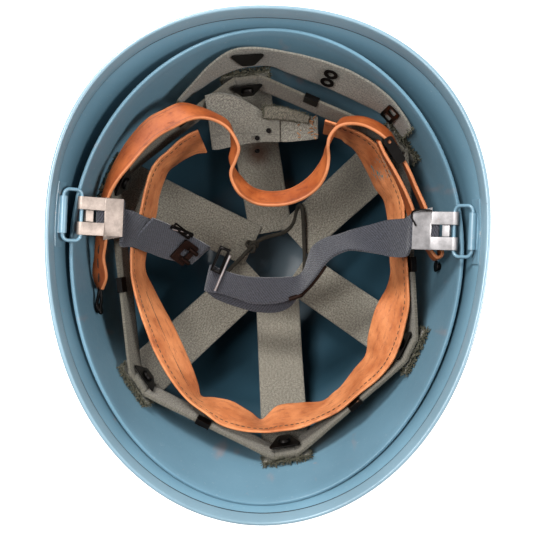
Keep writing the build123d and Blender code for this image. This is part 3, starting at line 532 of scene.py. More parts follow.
# %% Leather finishes
def hide(color, width=0.0, creases=0.5, paint=None):
    """Tan leather with grain and blotches. A strap of a known width has cut edges and grooves.
    Flecks of paint lie round a place if one is given."""

    def build(tree, shader):
        place = cloth_place(tree)
        skin = use_group(tree, grain, Place=place, Scale=900.0)
        dark = (color[0] * 0.66, color[1] * 0.54, color[2] * 0.46)
        pale = (min(1, color[0] * 1.18), color[1] * 1.3, color[2] * 1.4)
        surface = mixed(tree, ramp(tree, skin["Blotch"], 0.34, 0.66), dark, pale)
        scuffs = use_group(tree, wear, Place=place, Scale=120.0, Level=0.84)["Mask"]
        surface = laid_over(tree, scuffs, 0.4, surface, (0.16, 0.07, 0.035))
        turned = (0, 0, 0.35)
        drawn_out = add_node(tree, "ShaderNodeMapping", Vector=place, Scale=(0.35, 1.0, 1.0), Rotation=turned)
        folds = speckle(tree, drawn_out.outputs[0], 330.0, 6.0, 0.75)
        crease = ramp(tree, folds, 0.47, 0.33)
        surface = laid_over(tree, crease, 0.75, surface, (color[0] * 0.4, color[1] * 0.3, color[2] * 0.3))
        if width:
            split = add_node(tree, "ShaderNodeSeparateXYZ", Vector=place)
            from_edge = sum_of(tree, "PINGPONG", split.outputs[1], width / 2)
            edge = ramp(tree, from_edge, 0.8 * mm, 0.25 * mm)
            groove = sum_of(tree, "COMPARE", from_edge, 1.9 * mm, 0.22 * mm)
            surface = laid_over(tree, edge, 0.45, surface, (0.6, 0.25, 0.11))
            surface = laid_over(tree, groove, 0.75, surface, (0.16, 0.05, 0.02))
        if paint:
            near = ramp(tree, plan_distance(tree, paint), 8 * mm, 6 * mm)
            flecks = sum_of(tree, "MULTIPLY", near, ramp(tree, folds, 0.55, 0.58))
            surface = mixed(tree, flecks, surface, (0.035, 0.2, 0.21))
        rough = sum_of(tree, "MULTIPLY_ADD", skin["Blotch"], 0.25, 0.42)
        relief = sum_of(tree, "MULTIPLY_ADD", crease, -1.6, skin["Height"])
        connect(tree, shader, surface, rough, relief, 0.1 * mm, creases)

    return build


leather_width = 13 * mm
paint_place = (67 * mm, 61 * mm, 0)
tan_leather = finish_material(
    "tan_leather", "tan_leather", hide((0.35, 0.084, 0.02), leather_width), Specular_IOR_Level=0.3
)
band_leather = finish_material(
    "band_leather",
    "band_leather",
    hide((0.59, 0.205, 0.074), creases=0.9, paint=paint_place),
    Specular_IOR_Level=0.35,
)
print("leathers", tan_leather.name, band_leather.name)

# %% [markdown]
# ## The shape of the two shells
# A pressed shell opens from the crown like a dome and then flares towards its rim, more at
# the visor than at the ears. One formula gives its plan at any level: a reach to the side,
# the front and the back, on a curve a little squarer than an ellipse. The CAD model uses the
# same formula, so the smooth shells made here lie on its walls.

# %% Sizes and the wall formula
pot_height = 178 * mm
half_width = 120.7 * mm
crown_rise = 150 * mm
crown_power = 2.3
crown_seat = 0.4 * mm
flare_level = 70 * mm
flare_power = 3
flare_limit = 1.15
body_middle = 9 * mm
front_straight = 30 * mm
back_straight = 40 * mm
pot_wall = 1.1 * mm
liner_wall = 2.2 * mm

pot = {
    "base": -crown_seat,
    "body": (109.6 * mm, 119.6 * mm, 120 * mm),
    "rim": (half_width, 144.6 * mm, 142.5 * mm),
    "edge": (pot_height, 164 * mm, 172 * mm),
    "middle": 18.5 * mm,
    "powers": (1.96, 2.16),
}
liner = {
    "base": 1.5 * mm,
    "body": (107.7 * mm, 117.7 * mm, 118.1 * mm),
    "rim": (111.2 * mm, 136 * mm, 133.6 * mm),
    "edge": (159 * mm, 154 * mm, 162 * mm),
    "middle": 9.2 * mm,
    "powers": (1.94, 1.98),
}


def wall_point(shell, level, turn, grow=0.0):
    """Point of a shell's outline at a level, as the CAD model has it."""
    base = shell["base"] - grow
    share = max(0, 1 - max(0, 1 - (level - base) / crown_rise) ** crown_power) ** (1 / crown_power)
    flares = [max(0, (level - flare_level) / (edge - flare_level)) ** flare_power for edge in shell["edge"]]
    side, front, back = (
        (body + grow) * share + (rim - body) * flare
        for body, rim, flare in zip(shell["body"], shell["rim"], flares)
    )
    blend = min(flare_limit, flares[1])
    middle = body_middle * share + (shell["middle"] - body_middle) * blend
    behind = sin(turn) > 0
    power = 2 + (shell["powers"][behind] - 2) * blend
    length = back - middle if behind else front + middle
    across = copysign(abs(cos(turn)) ** (2 / power), cos(turn))
    along = copysign(abs(sin(turn)) ** (2 / power), sin(turn))
    return side * across, middle + length * along


def wall_at(shell, level, bearing, grow=0.0):
    """Point of a shell's outline on a bearing from the middle, found by halving."""
    low, high = bearing - pi / 4, bearing + pi / 4
    for _ in range(32):
        turn = (low + high) / 2
        x, y = wall_point(shell, level, turn, grow)
        if (atan2(y, x) - bearing + pi) % (2 * pi) < pi:
            low = turn
        else:
            high = turn
    return x, y


def rim_level(shell, y):
    """Height of a shell's rim, which falls to the visor and changes again at the nape."""
    crest, front, back = shell["edge"]
    _, visor_reach, nape_reach = pot["rim"]
    ahead = max(0, -y - front_straight) / (visor_reach - front_straight)
    behind = max(0, y - back_straight) / (nape_reach - back_straight)
    return crest - (crest - front) * ahead**2 - (crest - back) * behind**2


def rim_point(shell, turn, below=0.0, grow=0.0):
    """Point on a shell's rim line, or a little below it."""
    level = shell["edge"][0]
    for _ in range(6):
        x, y = wall_point(shell, level - below, turn, grow)
        level = rim_level(shell, y)
    return Vector((x, y, level - below))


print("rim reaches", [round(rim_point(pot, turn).length / mm) for turn in (0, pi / 2, pi, 1.5 * pi)])

# %% [markdown]
# ## Making meshes
# Three ways cover almost every piece. A shell is a profile spun round its axis and then
# seated on the wall formula. A strap is a flat grid laid along its route. A small fitting is
# a copy of its CAD solid, merged and bevelled, because a real edge always catches light.

# %% Mesh helpers
def add_piece(name, mesh, material, body="root", replaces=()):
    """Puts a mesh in the scene: it rides on its body and stands for its CAD nodes."""
    made = bpy.data.objects.new(name, mesh)
    bpy.context.scene.collection.objects.link(made)
    mesh.materials.append(material)
    for face in mesh.polygons:
        face.use_smooth = True
    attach(made, body)
    if replaces:
        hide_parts(*replaces)
    return made


def finish_mesh(bm, name):
    """Turns a finished bmesh into a mesh."""
    mesh = bpy.data.meshes.new(name)
    bm.to_mesh(mesh)
    bm.free()
    return mesh


def soften(made, width, angle=32):
    """A small bevel on a finished piece's sharp edges."""
    bevel = made.modifiers.new("bevel", "BEVEL")
    bevel.width = width
    bevel.segments = 2
    bevel.limit_method = "ANGLE"
    bevel.angle_limit = radians(angle)
    return made


def spun_shell(name, rows, turns, seat):
    """A bowl: a straight profile spun full circle, then each ring seated by its row."""
    bm = bmesh.new()
    profile = [bm.verts.new((1, 0, row / rows)) for row in range(rows + 1)]
    edges = [bm.edges.new(pair) for pair in zip(profile, profile[1:])]
    bmesh.ops.spin(
        bm, geom=profile + edges, cent=(0, 0, 0), axis=(0, 0, 1), angle=2 * pi, steps=turns, use_merge=True
    )
    layer = bm.loops.layers.uv.new("profile")
    for face in bm.faces:
        for loop in face.loops:
            loop[layer].uv = (0, loop.vert.co.z)
    for vertex in bm.verts:
        vertex.co = seat(vertex.co.z, atan2(vertex.co.y, vertex.co.x))
    bmesh.ops.remove_doubles(bm, verts=bm.verts, dist=0.001 * mm)
    bmesh.ops.recalc_face_normals(bm, faces=bm.faces)
    return bm


def smooth_rows(rows, steps):
    """Rows of numbers with more rows between them on a smooth curve."""
    filled = []
    for index in range(len(rows) - 1):
        before, start = rows[max(index - 1, 0)], rows[index]
        end, after = rows[index + 1], rows[min(index + 2, len(rows) - 1)]
        for step in range(steps):
            t = step / steps
            row = []
            for a, b, c, d in zip(before, start, end, after):
                bend = (2 * a - 5 * b + 4 * c - d) * t**2 + (3 * b - a - 3 * c + d) * t**3
                row.append(b + ((c - a) * t + bend) / 2)
            filled.append(row)
    filled.append(rows[-1])
    return filled


ripple_length = 14 * mm
ripple_share = 1.6


class Route:
    """A strap's two edges, filled in smoothly, with the length run so far at each row."""

    def __init__(self, shares, steps=6, unit=half_width):
        """shares are rows of both edges' coordinates, in units."""
        rows = smooth_rows([[part * unit for part in row] for row in shares], steps)
        self.firsts = [Vector(row[:3]) for row in rows]
        self.seconds = [Vector(row[3:]) for row in rows]
        self.middles = [(a + b) / 2 for a, b in zip(self.firsts, self.seconds)]
        self.runs = [0.0]
        for a, b in zip(self.middles, self.middles[1:]):
            self.runs.append(self.runs[-1] + (b - a).length)
        self.length = self.runs[-1]
        gaps = [(a - b).length for a, b in zip(self.firsts, self.seconds)]
        self.width = sum(gaps) / len(gaps)

    def normal(self, index):
        """The way that the strap's face looks at a row."""
        ahead, behind = min(index + 1, len(self.middles) - 1), max(index - 1, 0)
        travel = self.middles[ahead] - self.middles[behind]
        return travel.cross(self.seconds[index] - self.firsts[index]).normalized()

    def at(self, index, share, lift=0.0):
        """Point at a row, a share of the way from the first edge to the second."""
        return self.firsts[index].lerp(self.seconds[index], share) + self.normal(index) * lift

    def row_at(self, run):
        """Index of the row nearest a run along the strap."""
        return min(range(len(self.runs)), key=lambda index: abs(self.runs[index] - run))


def strap(name, route, thick, material, node, body="root", across=8, ripple=0.0, seed=0):
    """A webbing or leather strap that stands for a node: a grid laid on its route, thickened,
    with rounded edges. ripple is how far soft waves move it."""
    last = len(route.middles) - 1
    bm = bmesh.new()
    bmesh.ops.create_grid(bm, x_segments=last, y_segments=across, size=1, calc_uvs=False)
    layer = bm.loops.layers.uv.new("cloth")
    shares = {}
    for vertex in bm.verts:
        index = round((vertex.co.x + 1) / 2 * last)
        share = (vertex.co.y + 1) / 2
        shares[vertex] = (route.runs[index], share * route.width)
        wave = noise.noise(Vector((route.runs[index] / ripple_length, share * ripple_share, seed)))
        vertex.co = route.at(index, share, ripple * wave)
    for face in bm.faces:
        for loop in face.loops:
            loop[layer].uv = shares[loop.vert]
    made = add_piece(name, finish_mesh(bm, name), material, body, (node,))
    solid = made.modifiers.new("thickness", "SOLIDIFY")
    solid.thickness = thick
    solid.offset = 0
    soften(made, 0.35 * thick, 50)


def dressed(node, material, bevel, body="root"):
    """A copy of a CAD fitting with its triangles merged and its sharp edges bevelled."""
    bm = bmesh.new()
    bm.from_mesh(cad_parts[node].data)
    bmesh.ops.remove_doubles(bm, verts=bm.verts, dist=0.002 * mm)
    bmesh.ops.dissolve_limit(bm, angle_limit=radians(2), verts=bm.verts, edges=bm.edges)
    name = node + "_dressed"
    made = add_piece(name, finish_mesh(bm, name), material, body, (node,))
    soften(made, bevel)
    made.data.set_sharp_from_angle(angle=radians(35))
    return made


print("mesh helpers ready")

# %% [markdown]
# ## Steel pot
# The pot is pressed from one sheet of steel, about a millimetre thick, so it has no seam and
# every ring of it is smooth. A dense spin keeps the silhouette round. The rows crowd towards
# the crown, where the dome curves most. Only the inside shows in the photograph, yet the
# whole shell is made: the helmet is looked at from every side.

# %% Steel pot and liner
shell_rows = 72
shell_turns = 176
shell_crowding = 2.1


def shell_seat(shell):
    """Seats a spun profile on a shell: row 0 is the crown, row 1 the rim."""

    def seat(row, turn):
        if row < 1e-6:
            return Vector((0, 0, shell["base"] + crown_seat))
        edge = shell["edge"][0]
        for _ in range(6):
            level = shell["base"] + (edge - shell["base"]) * row**shell_crowding
            x, y = wall_point(shell, level, turn)
            edge = rim_level(shell, y)
        return Vector((x, y, level))

    return seat


def add_shell(name, shell, wall, material, node):
    """A spun shell with its wall inside the outline."""
    bm = spun_shell(name, shell_rows, shell_turns, shell_seat(shell))
    made = add_piece(name, finish_mesh(bm, name), material, "root", (node,))
    solid = made.modifiers.new("wall", "SOLIDIFY")
    solid.thickness = wall
    solid.offset = -1
    return soften(made, 0.3 * wall, 45)


steel_pot = add_shell("steel_pot", pot, pot_wall, pot_enamel, "pot_shell")
liner_bowl = add_shell("liner_bowl", liner, liner_wall, liner_enamel, "liner_shell")
print("shells", len(steel_pot.data.vertices), len(liner_bowl.data.vertices))

# %% [markdown]
# ## Rim edging
# A strip of thin steel is folded over the pot's raw edge. Its section is a hairpin, given
# as the depth below the rim and the reach outwards. The hairpin's outline is spun round the
# mouth, and each point of it is seated on the rim line.

# %% Rim edging
edging_wall = 0.6 * mm
edging_leg = 6 * mm
edging_gap = 0.05 * mm
edging_turns = 256
fold = (
    (edging_leg, edging_gap),
    (edging_leg * 0.97, edging_gap + edging_wall),
    (0.5 * mm, edging_gap + edging_wall),
    (-0.2 * mm, edging_gap + edging_wall * 0.9),
    (-0.55 * mm, 0.2 * mm),
    (-0.65 * mm, -pot_wall / 2),
    (-0.55 * mm, -pot_wall - 0.2 * mm),
    (-0.2 * mm, -pot_wall - edging_gap - edging_wall * 0.9),
    (0.5 * mm, -pot_wall - edging_gap - edging_wall),
    (edging_leg * 0.97, -pot_wall - edging_gap - edging_wall),
    (edging_leg, -pot_wall - edging_gap),
)


def edging_seat(row, turn):
    """Seats a point of the hairpin on the rim line."""
    below, out = fold[round(row * (len(fold) - 1))]
    place = rim_point(pot, turn, max(below, 0), out)
    return place + Vector((0, 0, max(0, -below)))


bm = spun_shell("edging", len(fold) - 1, edging_turns, edging_seat)
rim_fold = add_piece("rim_fold", finish_mesh(bm, "rim_fold"), edging_enamel, "root", ("rim_edging",))
soften(rim_fold, 0.12 * mm, 40)
print("edging", len(rim_fold.data.vertices), "vertices")

# %% [markdown]
# ## Painted shade inside the pot
# Under the edging's leg runs a thin dark line, and the pot's wall behind the liner is darker
# and duller than the rest of its paint: both are painted shade, where the fold and the liner
# keep the light out. Both are bands laid just inside the wall. A band's points are moved
# along its own normals, which keeps it clear of a sloping wall.

# %% Bands on the pot's inner wall
seam_wide = 1.0 * mm
seam_proud = 0.2 * mm
lining_low = 44 * mm


def inner_band(name, rows, first, last, material):
    """A thin band on the pot's inner wall, between two depths below the rim."""

    def seat(row, turn):
        return rim_point(pot, turn, first + (last - first) * row)

    bm = spun_shell(name, rows, edging_turns, seat)
    bm.normal_update()
    for vertex in bm.verts:
        away = Vector((vertex.co.x, vertex.co.y, 0))
        inward = -vertex.normal if vertex.normal.dot(away) > 0 else vertex.normal
        vertex.co += inward * (pot_wall + seam_proud)
    bm.normal_update()
    if sum(face.normal.dot(face.calc_center_median()) for face in bm.faces) > 0:
        bmesh.ops.reverse_faces(bm, faces=bm.faces)
    add_piece(name, finish_mesh(bm, name), material)


# Painted shade: a thin dark line under the edging's leg.
inner_band("rim_shade_line", 2, edging_leg, edging_leg + seam_wide, seam_shade)
# Painted shade: a darker band down the pot's wall behind the liner.
inner_band("shaded_pot_lining", 14, edging_leg + seam_wide, lining_low, shaded_pot_lining)
print("bands down to", round(lining_low / mm), "mm below the rim")

# %% [markdown]
# ## Suspension
# Six webbing arms are riveted to the liner's wall. Each runs down the wall, leaves it, and
# hangs in towards the crown, where the ends are folded into loops for a lace. An arm is a
# flat strap, so it is laid along a route whose rows are worked out from its rivet. It has a
# slight ripple, because cotton webbing that has been worn is never quite flat.

# %% Crown arms
suspension_turn = radians(8.6)
rivet_spread = radians(54)
rivet_level = 115 * mm
arm_inset = 2.7 * mm
arm_opening = 17 * mm
arm_step = 2.3 * mm
arm_thick = 1.4 * mm
crown_side = 6.2 * mm
crown_back = 6.1 * mm
arm_wall_levels = (124 * mm, 119 * mm, 114 * mm, 108 * mm)
arm_reach_shares = (0.9, 0.76, 0.6, 0.42, 0.2, 0)
arm_level_shares = (0.86, 0.72, 0.59, 0.49, 0.42, 0.39)
arm_names = ("back", "back_left", "front_left", "front", "front_right", "back_right")
spreads = (0, rivet_spread, pi - rivet_spread, pi, pi + rivet_spread, -rivet_spread)
bearings = [pi / 2 + suspension_turn + spread for spread in spreads]


def wall_frame(bearing, level, depth):
    """Place, level direction and inward direction on the liner's inner wall."""
    step = radians(2)
    x, y = wall_at(liner, level, bearing, -liner_wall)
    left = Vector(wall_at(liner, level, bearing - step, -liner_wall))
    right = Vector(wall_at(liner, level, bearing + step, -liner_wall))
    above = wall_at(liner, level + mm, bearing, -liner_wall)
    along = (right - left).to_3d().normalized()
    rising = Vector((above[0] - x, above[1] - y, mm)).normalized()
    inward = along.cross(rising).normalized()
    if inward.x * x + inward.y * y > 0:
        inward = -inward
    return Vector((x, y, level)) + inward * depth, along, inward


def arm_rows(index, bearing):
    """Rows of an arm's two edges, from its rivet to the crown."""
    rise = arm_step * (index % 2)
    rows = []
    for level in arm_wall_levels:
        foot, along, _ = wall_frame(bearing, level, arm_inset)
        rows.append([*(foot + along * arm_width / 2), *(foot - along * arm_width / 2)])
    away = Vector((foot.x - crown_side, foot.y - crown_back, 0))
    reach = Vector((-away.y, away.x, 0)).normalized() * (arm_width / 2)
    if reach.dot(along) < 0:
        reach = -reach
    for share, level in zip(arm_reach_shares, arm_level_shares):
        out = away.normalized() * (arm_opening + share * (away.length - arm_opening))
        middle = Vector((crown_side, crown_back, level * foot.z + rise * min(1, 2 - 2 * share)))
        rows.append([*(middle + out + reach), *(middle + out - reach)])
    return rows


arm_routes = {}
for index, (name, bearing) in enumerate(zip(arm_names, bearings)):
    route = Route(arm_rows(index, bearing), 6, 1)
    arm_routes[name] = route
    strap(
        "crown_arm_" + name + "_webbing",
        route,
        arm_thick,
        rusty_arm if name == "back" else olive_arm,
        "crown_arm_" + name,
        across=10,
        ripple=0.35 * mm,
        seed=index,
    )
print("arms", {name: round(route.length / mm) for name, route in arm_routes.items()}, "mm long")

# %% [markdown]
# ## Headband ring
# A narrower, darker webbing runs from rivet to rivet, flat at each one and straight between
# them, standing on its edge. Its rows go once round, with extra rows beside each corner so
# that the curve through them turns only there.

# %% Headband ring
ring_level = 127 * mm
ring_height = 16 * mm
ring_inset = 5.4 * mm
ring_flat = 17 * mm
ring_lean = radians(16)
corner_reach = 3.5 * mm
webbing_thick = 1.6 * mm

ring_corners = []
for bearing in bearings:
    foot, along, _ = wall_frame(bearing, ring_level, ring_inset)
    ring_corners += [(foot + along * half).to_2d() for half in (-ring_flat / 2, ring_flat / 2)]
ring_corners.sort(key=lambda corner: atan2(corner.y, corner.x))
ring_rows = []
for start, end in zip(ring_corners, ring_corners[1:] + ring_corners[:1]):
    side = end - start
    inward = Vector((-side.y, side.x)).normalized()
    for share in (corner_reach / side.length, 0.5, 1 - corner_reach / side.length):
        top = start + side * share + inward * webbing_thick / 2
        low = top + inward * ring_height * tan(ring_lean)
        ring_rows.append([top.x, top.y, ring_level, low.x, low.y, ring_level - ring_height])
ring_rows.append(ring_rows[0])
ring_route = Route(ring_rows, 5, 1)
strap(
    "headband_ring_webbing",
    ring_route,
    webbing_thick,
    ring_cloth,
    "headband_ring",
    across=6,
    ripple=0.25 * mm,
    seed=11,
)
print("ring", round(ring_route.length / mm), "mm round")

# %% [markdown]
# ## Threads
# Where the webbing was cut at the rivets it has come apart, and tufts of thread stand up
# outside each washer. A tuft is many short wires: each starts on the arm's cut edge, leans
# out and curls. Their turns come from a seeded generator, so they are the same every time.
# The same helper for wires also makes the lace's knot, the buckle and other round wire.

# %% Thread helpers
from random import Random

chance = Random(41)


def tuft(first, second, rise, out, count, length):
    """Short curling threads along a cut edge from first to second."""
    lines = []
    for number in range(count):
        share = (number + chance.random()) / count
        point = first.lerp(second, share)
        heading = (rise + out * chance.uniform(-0.4, 1.0)).normalized()
        run = length * chance.uniform(0.35, 1.0)
        curl = Vector([chance.uniform(-1, 1) for _ in range(3)])
        line = [point.copy()]
        for _ in range(6):
            heading = (heading + curl * 0.24).normalized()
            point = point + heading * run / 6
            line.append(point.copy())
        lines.append(line)
    return lines


def wires(name, lines, radius, material, body="root", replaces=(), closed=False, sides=2):
    """Many wires or threads in one mesh."""
    curve = bpy.data.curves.new(name, "CURVE")
    curve.dimensions = "3D"
    curve.bevel_depth = radius
    curve.bevel_resolution = sides
    curve.use_fill_caps = not closed
    for points in lines:
        line = curve.splines.new("POLY")
        line.points.add(len(points) - 1)
        for place, point in zip(line.points, points):
            place.co = (*point, 1)
        line.use_cyclic_u = closed
    holder = bpy.data.objects.new(name + "_line", curve)
    bpy.context.scene.collection.objects.link(holder)
    mesh = bpy.data.meshes.new_from_object(holder)
    mesh.name = name
    bpy.data.objects.remove(holder)
    mesh.materials.clear()
    return add_piece(name, mesh, material, body, replaces)


def thread_finish(name, slot_name, color):
    """Dull cotton of one colour, uneven along its length."""

    def build(tree, shader):
        place = object_place(tree)
        tone = ramp(tree, speckle(tree, place, 500.0, 3.0, 0.7), 0.3, 0.7)
        surface = mixed(tree, tone, scaled(color, 0.5), scaled(color, 1.4))
        rough = sum_of(tree, "MULTIPLY_ADD", tone, -0.1, 0.95)
        connect(tree, shader, surface, rough, speckle(tree, place, 3500.0), 0.05 * mm)

    return finish_material(name, slot_name, build)


print("thread helpers ready")

# %% [markdown]
# ## Frayed ends
# Each arm's upper end gets one dense tuft along its cut and a thinner one down each side.

# %% Frayed ends
olive_thread = thread_finish("olive_thread", "olive_webbing", (0.075, 0.07, 0.045))
lace_cord = thread_finish("lace_cord", "olive_lace", (0.011, 0.008, 0.003))
dark_thread = thread_finish("dark_thread", "band_leather", (0.1, 0.05, 0.025))
# Near-black beads for the leather strap's slots: painted shade.
slot_shade_leather = thread_finish("slot_shade_leather", "tan_leather", (0.025, 0.012, 0.007))
orange_thread = thread_finish("orange_thread", "tan_leather", (0.36, 0.15, 0.05))

upward = Vector((0, 0, 1))
thread_radius = 0.22 * mm
fray_lines = []
for name, bearing in zip(arm_names, bearings):
    route = arm_routes[name]
    _, _, inward = wall_frame(bearing, rivet_level, 0)
    fray_lines += tuft(route.at(0, 0), route.at(0, 1), upward, inward * -0.7, 210, 5.5 * mm)
    for side in (0, 1):
        start, end = route.at(0, side), route.at(10, side)
        fray_lines += tuft(start, end, upward * 0.3 + inward * 0.3, inward, 30, 3.2 * mm)
wires("frayed_ends", fray_lines, thread_radius, olive_thread, sides=1)
print("threads", len(fray_lines))

# %% [markdown]
# ## Lace
# A dark olive lace is threaded through the loops at the arms' ends and knotted beside the
# opening. It is round and soft, so it is one smooth NURBS line with a few control points and
# a round bevel. The knot is a real overhand knot, whose centreline is the curve that a
# trefoil gives.

# %% Crown lace route and knot
lace_shares = (
    (-0.219, -0.051, 0.447),
    (-0.145, 0.030, 0.423),
    (-0.082, 0.105, 0.414),
    (-0.034, 0.146, 0.414),
    (0.026, 0.168, 0.388),
    (0.093, 0.185, 0.374),
    (0.146, 0.236, 0.378),
    (0.158, 0.322, 0.392),
    (0.180, 0.352, 0.440),
    (0.194, 0.285, 0.446),
    (0.205, 0.150, 0.406),
    (0.215, 0.040, 0.406),
    (0.213, -0.066, 0.427),
)
lace_radius = 1.35 * mm


def curve_through(points, steps):
    """Points on a smooth curve through a few points."""
    return [Vector(row) for row in smooth_rows([list(point) for point in points], steps)]


lace_points = [Vector(row) * half_width for row in lace_shares]
knot_size = 1.35 * mm
knot_steps = 60
knot = []
for step in range(knot_steps):
    t = 2 * pi * step / knot_steps
    loop = Vector((sin(t) + 2 * sin(2 * t), cos(t) - 2 * cos(2 * t), -1.2 * sin(3 * t)))
    knot.append(lace_points[2] + loop * knot_size)
lace_knot = wires("lace_knot", [knot], lace_radius * 0.8, lace_cord, closed=True, sides=3)
print("knot", len(knot), "points")

# %% [markdown]
# ## The lace as a cord
# The line is made once without a bevel, which gives the path and its length, and once with
# it, which gives the tube.

# %% Crown lace tube
lace_line = bpy.data.curves.new("crown_lace_cord", "CURVE")
lace_line.dimensions = "3D"
lace_line.resolution_u = 12
route = lace_line.splines.new("NURBS")
route.points.add(len(lace_points) - 1)
for place, point in zip(route.points, lace_points):
    place.co = (*point, 1)
route.order_u = 3
route.use_endpoint_u = True
holder = bpy.data.objects.new("crown_lace_line", lace_line)
bpy.context.scene.collection.objects.link(holder)
lace_run = [vertex.co.copy() for vertex in bpy.data.meshes.new_from_object(holder).vertices]
lace_length = sum((after - before).length for before, after in zip(lace_run, lace_run[1:]))
lace_line.bevel_depth = lace_radius
lace_line.bevel_resolution = 3
lace_line.use_fill_caps = True
lace_tube = bpy.data.meshes.new_from_object(holder)
lace_tube.name = "crown_lace_cord"
bpy.data.objects.remove(holder)
crown_lace = add_piece("crown_lace_cord", lace_tube, lace_cord, "root", ("crown_lace",))
print("lace", round(lace_length / mm), "mm")

# %% [markdown]
# ## Sweatband
# The sweatband is thin tan leather. Its outer edge is stitched round the ring, and its inner
# edge leans in towards the head and waves where small clips pinch it. The two edges were
# read off the photograph all the way round, and a soft ripple keeps the leather between them
# from looking like sheet metal. Its stitches are rows of small beads, and so is the dark line
# along its middle crease, which is painted shade in the fold.

# %% Sweatband
sweatband_shares = (
    (-0.362, 0.652, 1.052, -0.327, 0.570, 0.829),
    (-0.406, 0.631, 1.052, -0.379, 0.564, 0.823),
    (-0.449, 0.599, 1.052, -0.435, 0.536, 0.821),
    (-0.501, 0.549, 1.044, -0.481, 0.504, 0.809),
    (-0.554, 0.497, 1.044, -0.526, 0.466, 0.807),
    (-0.590, 0.432, 1.044, -0.549, 0.408, 0.808),
    (-0.611, 0.347, 1.044, -0.567, 0.330, 0.808),
    (-0.627, 0.257, 1.044, -0.579, 0.247, 0.809),
    (-0.652, 0.148, 1.044, -0.604, 0.127, 0.809),
    (-0.668, 0.048, 1.044, -0.626, 0.023, 0.809),
    (-0.663, -0.060, 1.044, -0.623, -0.060, 0.807),
    (-0.645, -0.148, 1.044, -0.572, -0.150, 0.815),
    (-0.611, -0.255, 1.044, -0.497, -0.275, 0.833),
    (-0.567, -0.367, 1.044, -0.424, -0.399, 0.854),
    (-0.513, -0.478, 1.044, -0.367, -0.514, 0.856),
    (-0.429, -0.602, 1.044, -0.329, -0.619, 0.826),
    (-0.346, -0.688, 1.044, -0.308, -0.690, 0.806),
    (-0.260, -0.748, 1.044, -0.239, -0.694, 0.811),
    (-0.174, -0.799, 1.044, -0.145, -0.709, 0.823),
    (-0.069, -0.819, 1.044, -0.051, -0.758, 0.812),
    (0.025, -0.820, 1.044, 0.013, -0.798, 0.805),
    (0.103, -0.812, 1.044, 0.092, -0.720, 0.822),
    (0.201, -0.793, 1.044, 0.204, -0.700, 0.823),
    (0.298, -0.750, 1.044, 0.318, -0.691, 0.812),
    (0.385, -0.702, 1.044, 0.381, -0.641, 0.806),
    (0.448, -0.649, 1.044, 0.415, -0.610, 0.809),
    (0.515, -0.588, 1.044, 0.475, -0.518, 0.822),
    (0.588, -0.520, 1.044, 0.533, -0.438, 0.828),
    (0.645, -0.444, 1.044, 0.541, -0.333, 0.858),
    (0.681, -0.349, 1.044, 0.560, -0.224, 0.878),
    (0.701, -0.249, 1.044, 0.590, -0.152, 0.854),
    (0.713, -0.154, 1.044, 0.626, -0.084, 0.833),
    (0.704, -0.055, 1.044, 0.646, -0.005, 0.815),
    (0.693, 0.046, 1.044, 0.640, 0.064, 0.810),
    (0.685, 0.141, 1.044, 0.630, 0.163, 0.811),
    (0.674, 0.248, 1.044, 0.620, 0.269, 0.810),
    (0.661, 0.351, 1.044, 0.594, 0.363, 0.814),
    (0.622, 0.448, 1.044, 0.539, 0.432, 0.819),
    (0.574, 0.535, 1.044, 0.488, 0.533, 0.820),
    (0.527, 0.607, 1.044, 0.433, 0.613, 0.823),
    (0.460, 0.657, 1.052, 0.379, 0.652, 0.826),
    (0.375, 0.693, 1.052, 0.354, 0.673, 0.814),
    (0.260, 0.727, 1.052, 0.265, 0.695, 0.814),
)
sweat_leather = 1.5 * mm
sweat_route = Route(sweatband_shares)
strap(
    "sweatband_leather",
    sweat_route,
    sweat_leather,
    band_leather,
    "sweatband",
    across=12,
    ripple=0.5 * mm,
    seed=5,
)


def stitches(name, route, share, pitch, long, radius, lift, material, first=0.0, last=None):
    """A row of small stretched beads that lie on a strap: sewn stitches, and also dark marks of painted shade
    at a crease and at slots.
    """
    bm = bmesh.new()
    run = first + pitch
    end = (route.length if last is None else last) - pitch
    while run < end:
        index = route.row_at(run)
        index = max(0, min(index, len(route.runs) - 2))
        span = route.runs[index + 1] - route.runs[index]
        part = (run - route.runs[index]) / span if span else 0
        here = route.at(index, share, lift).lerp(route.at(index + 1, share, lift), part)
        travel = (route.at(index + 1, share, lift) - route.at(index, share, lift)).normalized()
        bead = bmesh.ops.create_uvsphere(bm, u_segments=6, v_segments=5, radius=1)["verts"]
        bmesh.ops.scale(bm, vec=(radius, radius, long / 2), verts=bead)
        turn = travel.to_track_quat("Z", "Y").to_matrix()
        bmesh.ops.rotate(bm, matrix=turn, cent=(0, 0, 0), verts=bead)
        bmesh.ops.translate(bm, vec=here, verts=bead)
        run += pitch
    add_piece(name, finish_mesh(bm, name), material)


crease_first, crease_last = sweat_route.runs[66], sweat_route.runs[100]
for number, side in enumerate((-1, 1)):
    stitches(
        f"sweatband_stitches_{number}",
        sweat_route,
        share=0.14,
        pitch=3.4 * mm,
        long=2.5 * mm,
        radius=0.36 * mm,
        lift=side * sweat_leather * 0.56,
        material=dark_thread,
    )
    # The crease is a row of dark beads: painted shade along the fold.
    stitches(
        f"sweatband_crease_{number}",
        sweat_route,
        share=0.5,
        pitch=2 * mm,
        long=2.5 * mm,
        radius=0.22 * mm,
        lift=side * sweat_leather * 0.52,
        material=dark_thread,
        first=crease_first,
        last=crease_last,
    )
print("sweatband", round(sweat_route.length / mm), "x", round(sweat_route.width / mm), "mm")

# %% [markdown]
# ## Rear webbing
# Behind the sweatband a wide webbing strap folds over the ring and is riveted to a tab with
# a dark loop. Each is a flat strap between two edges, and the torn stitching is tufts again.

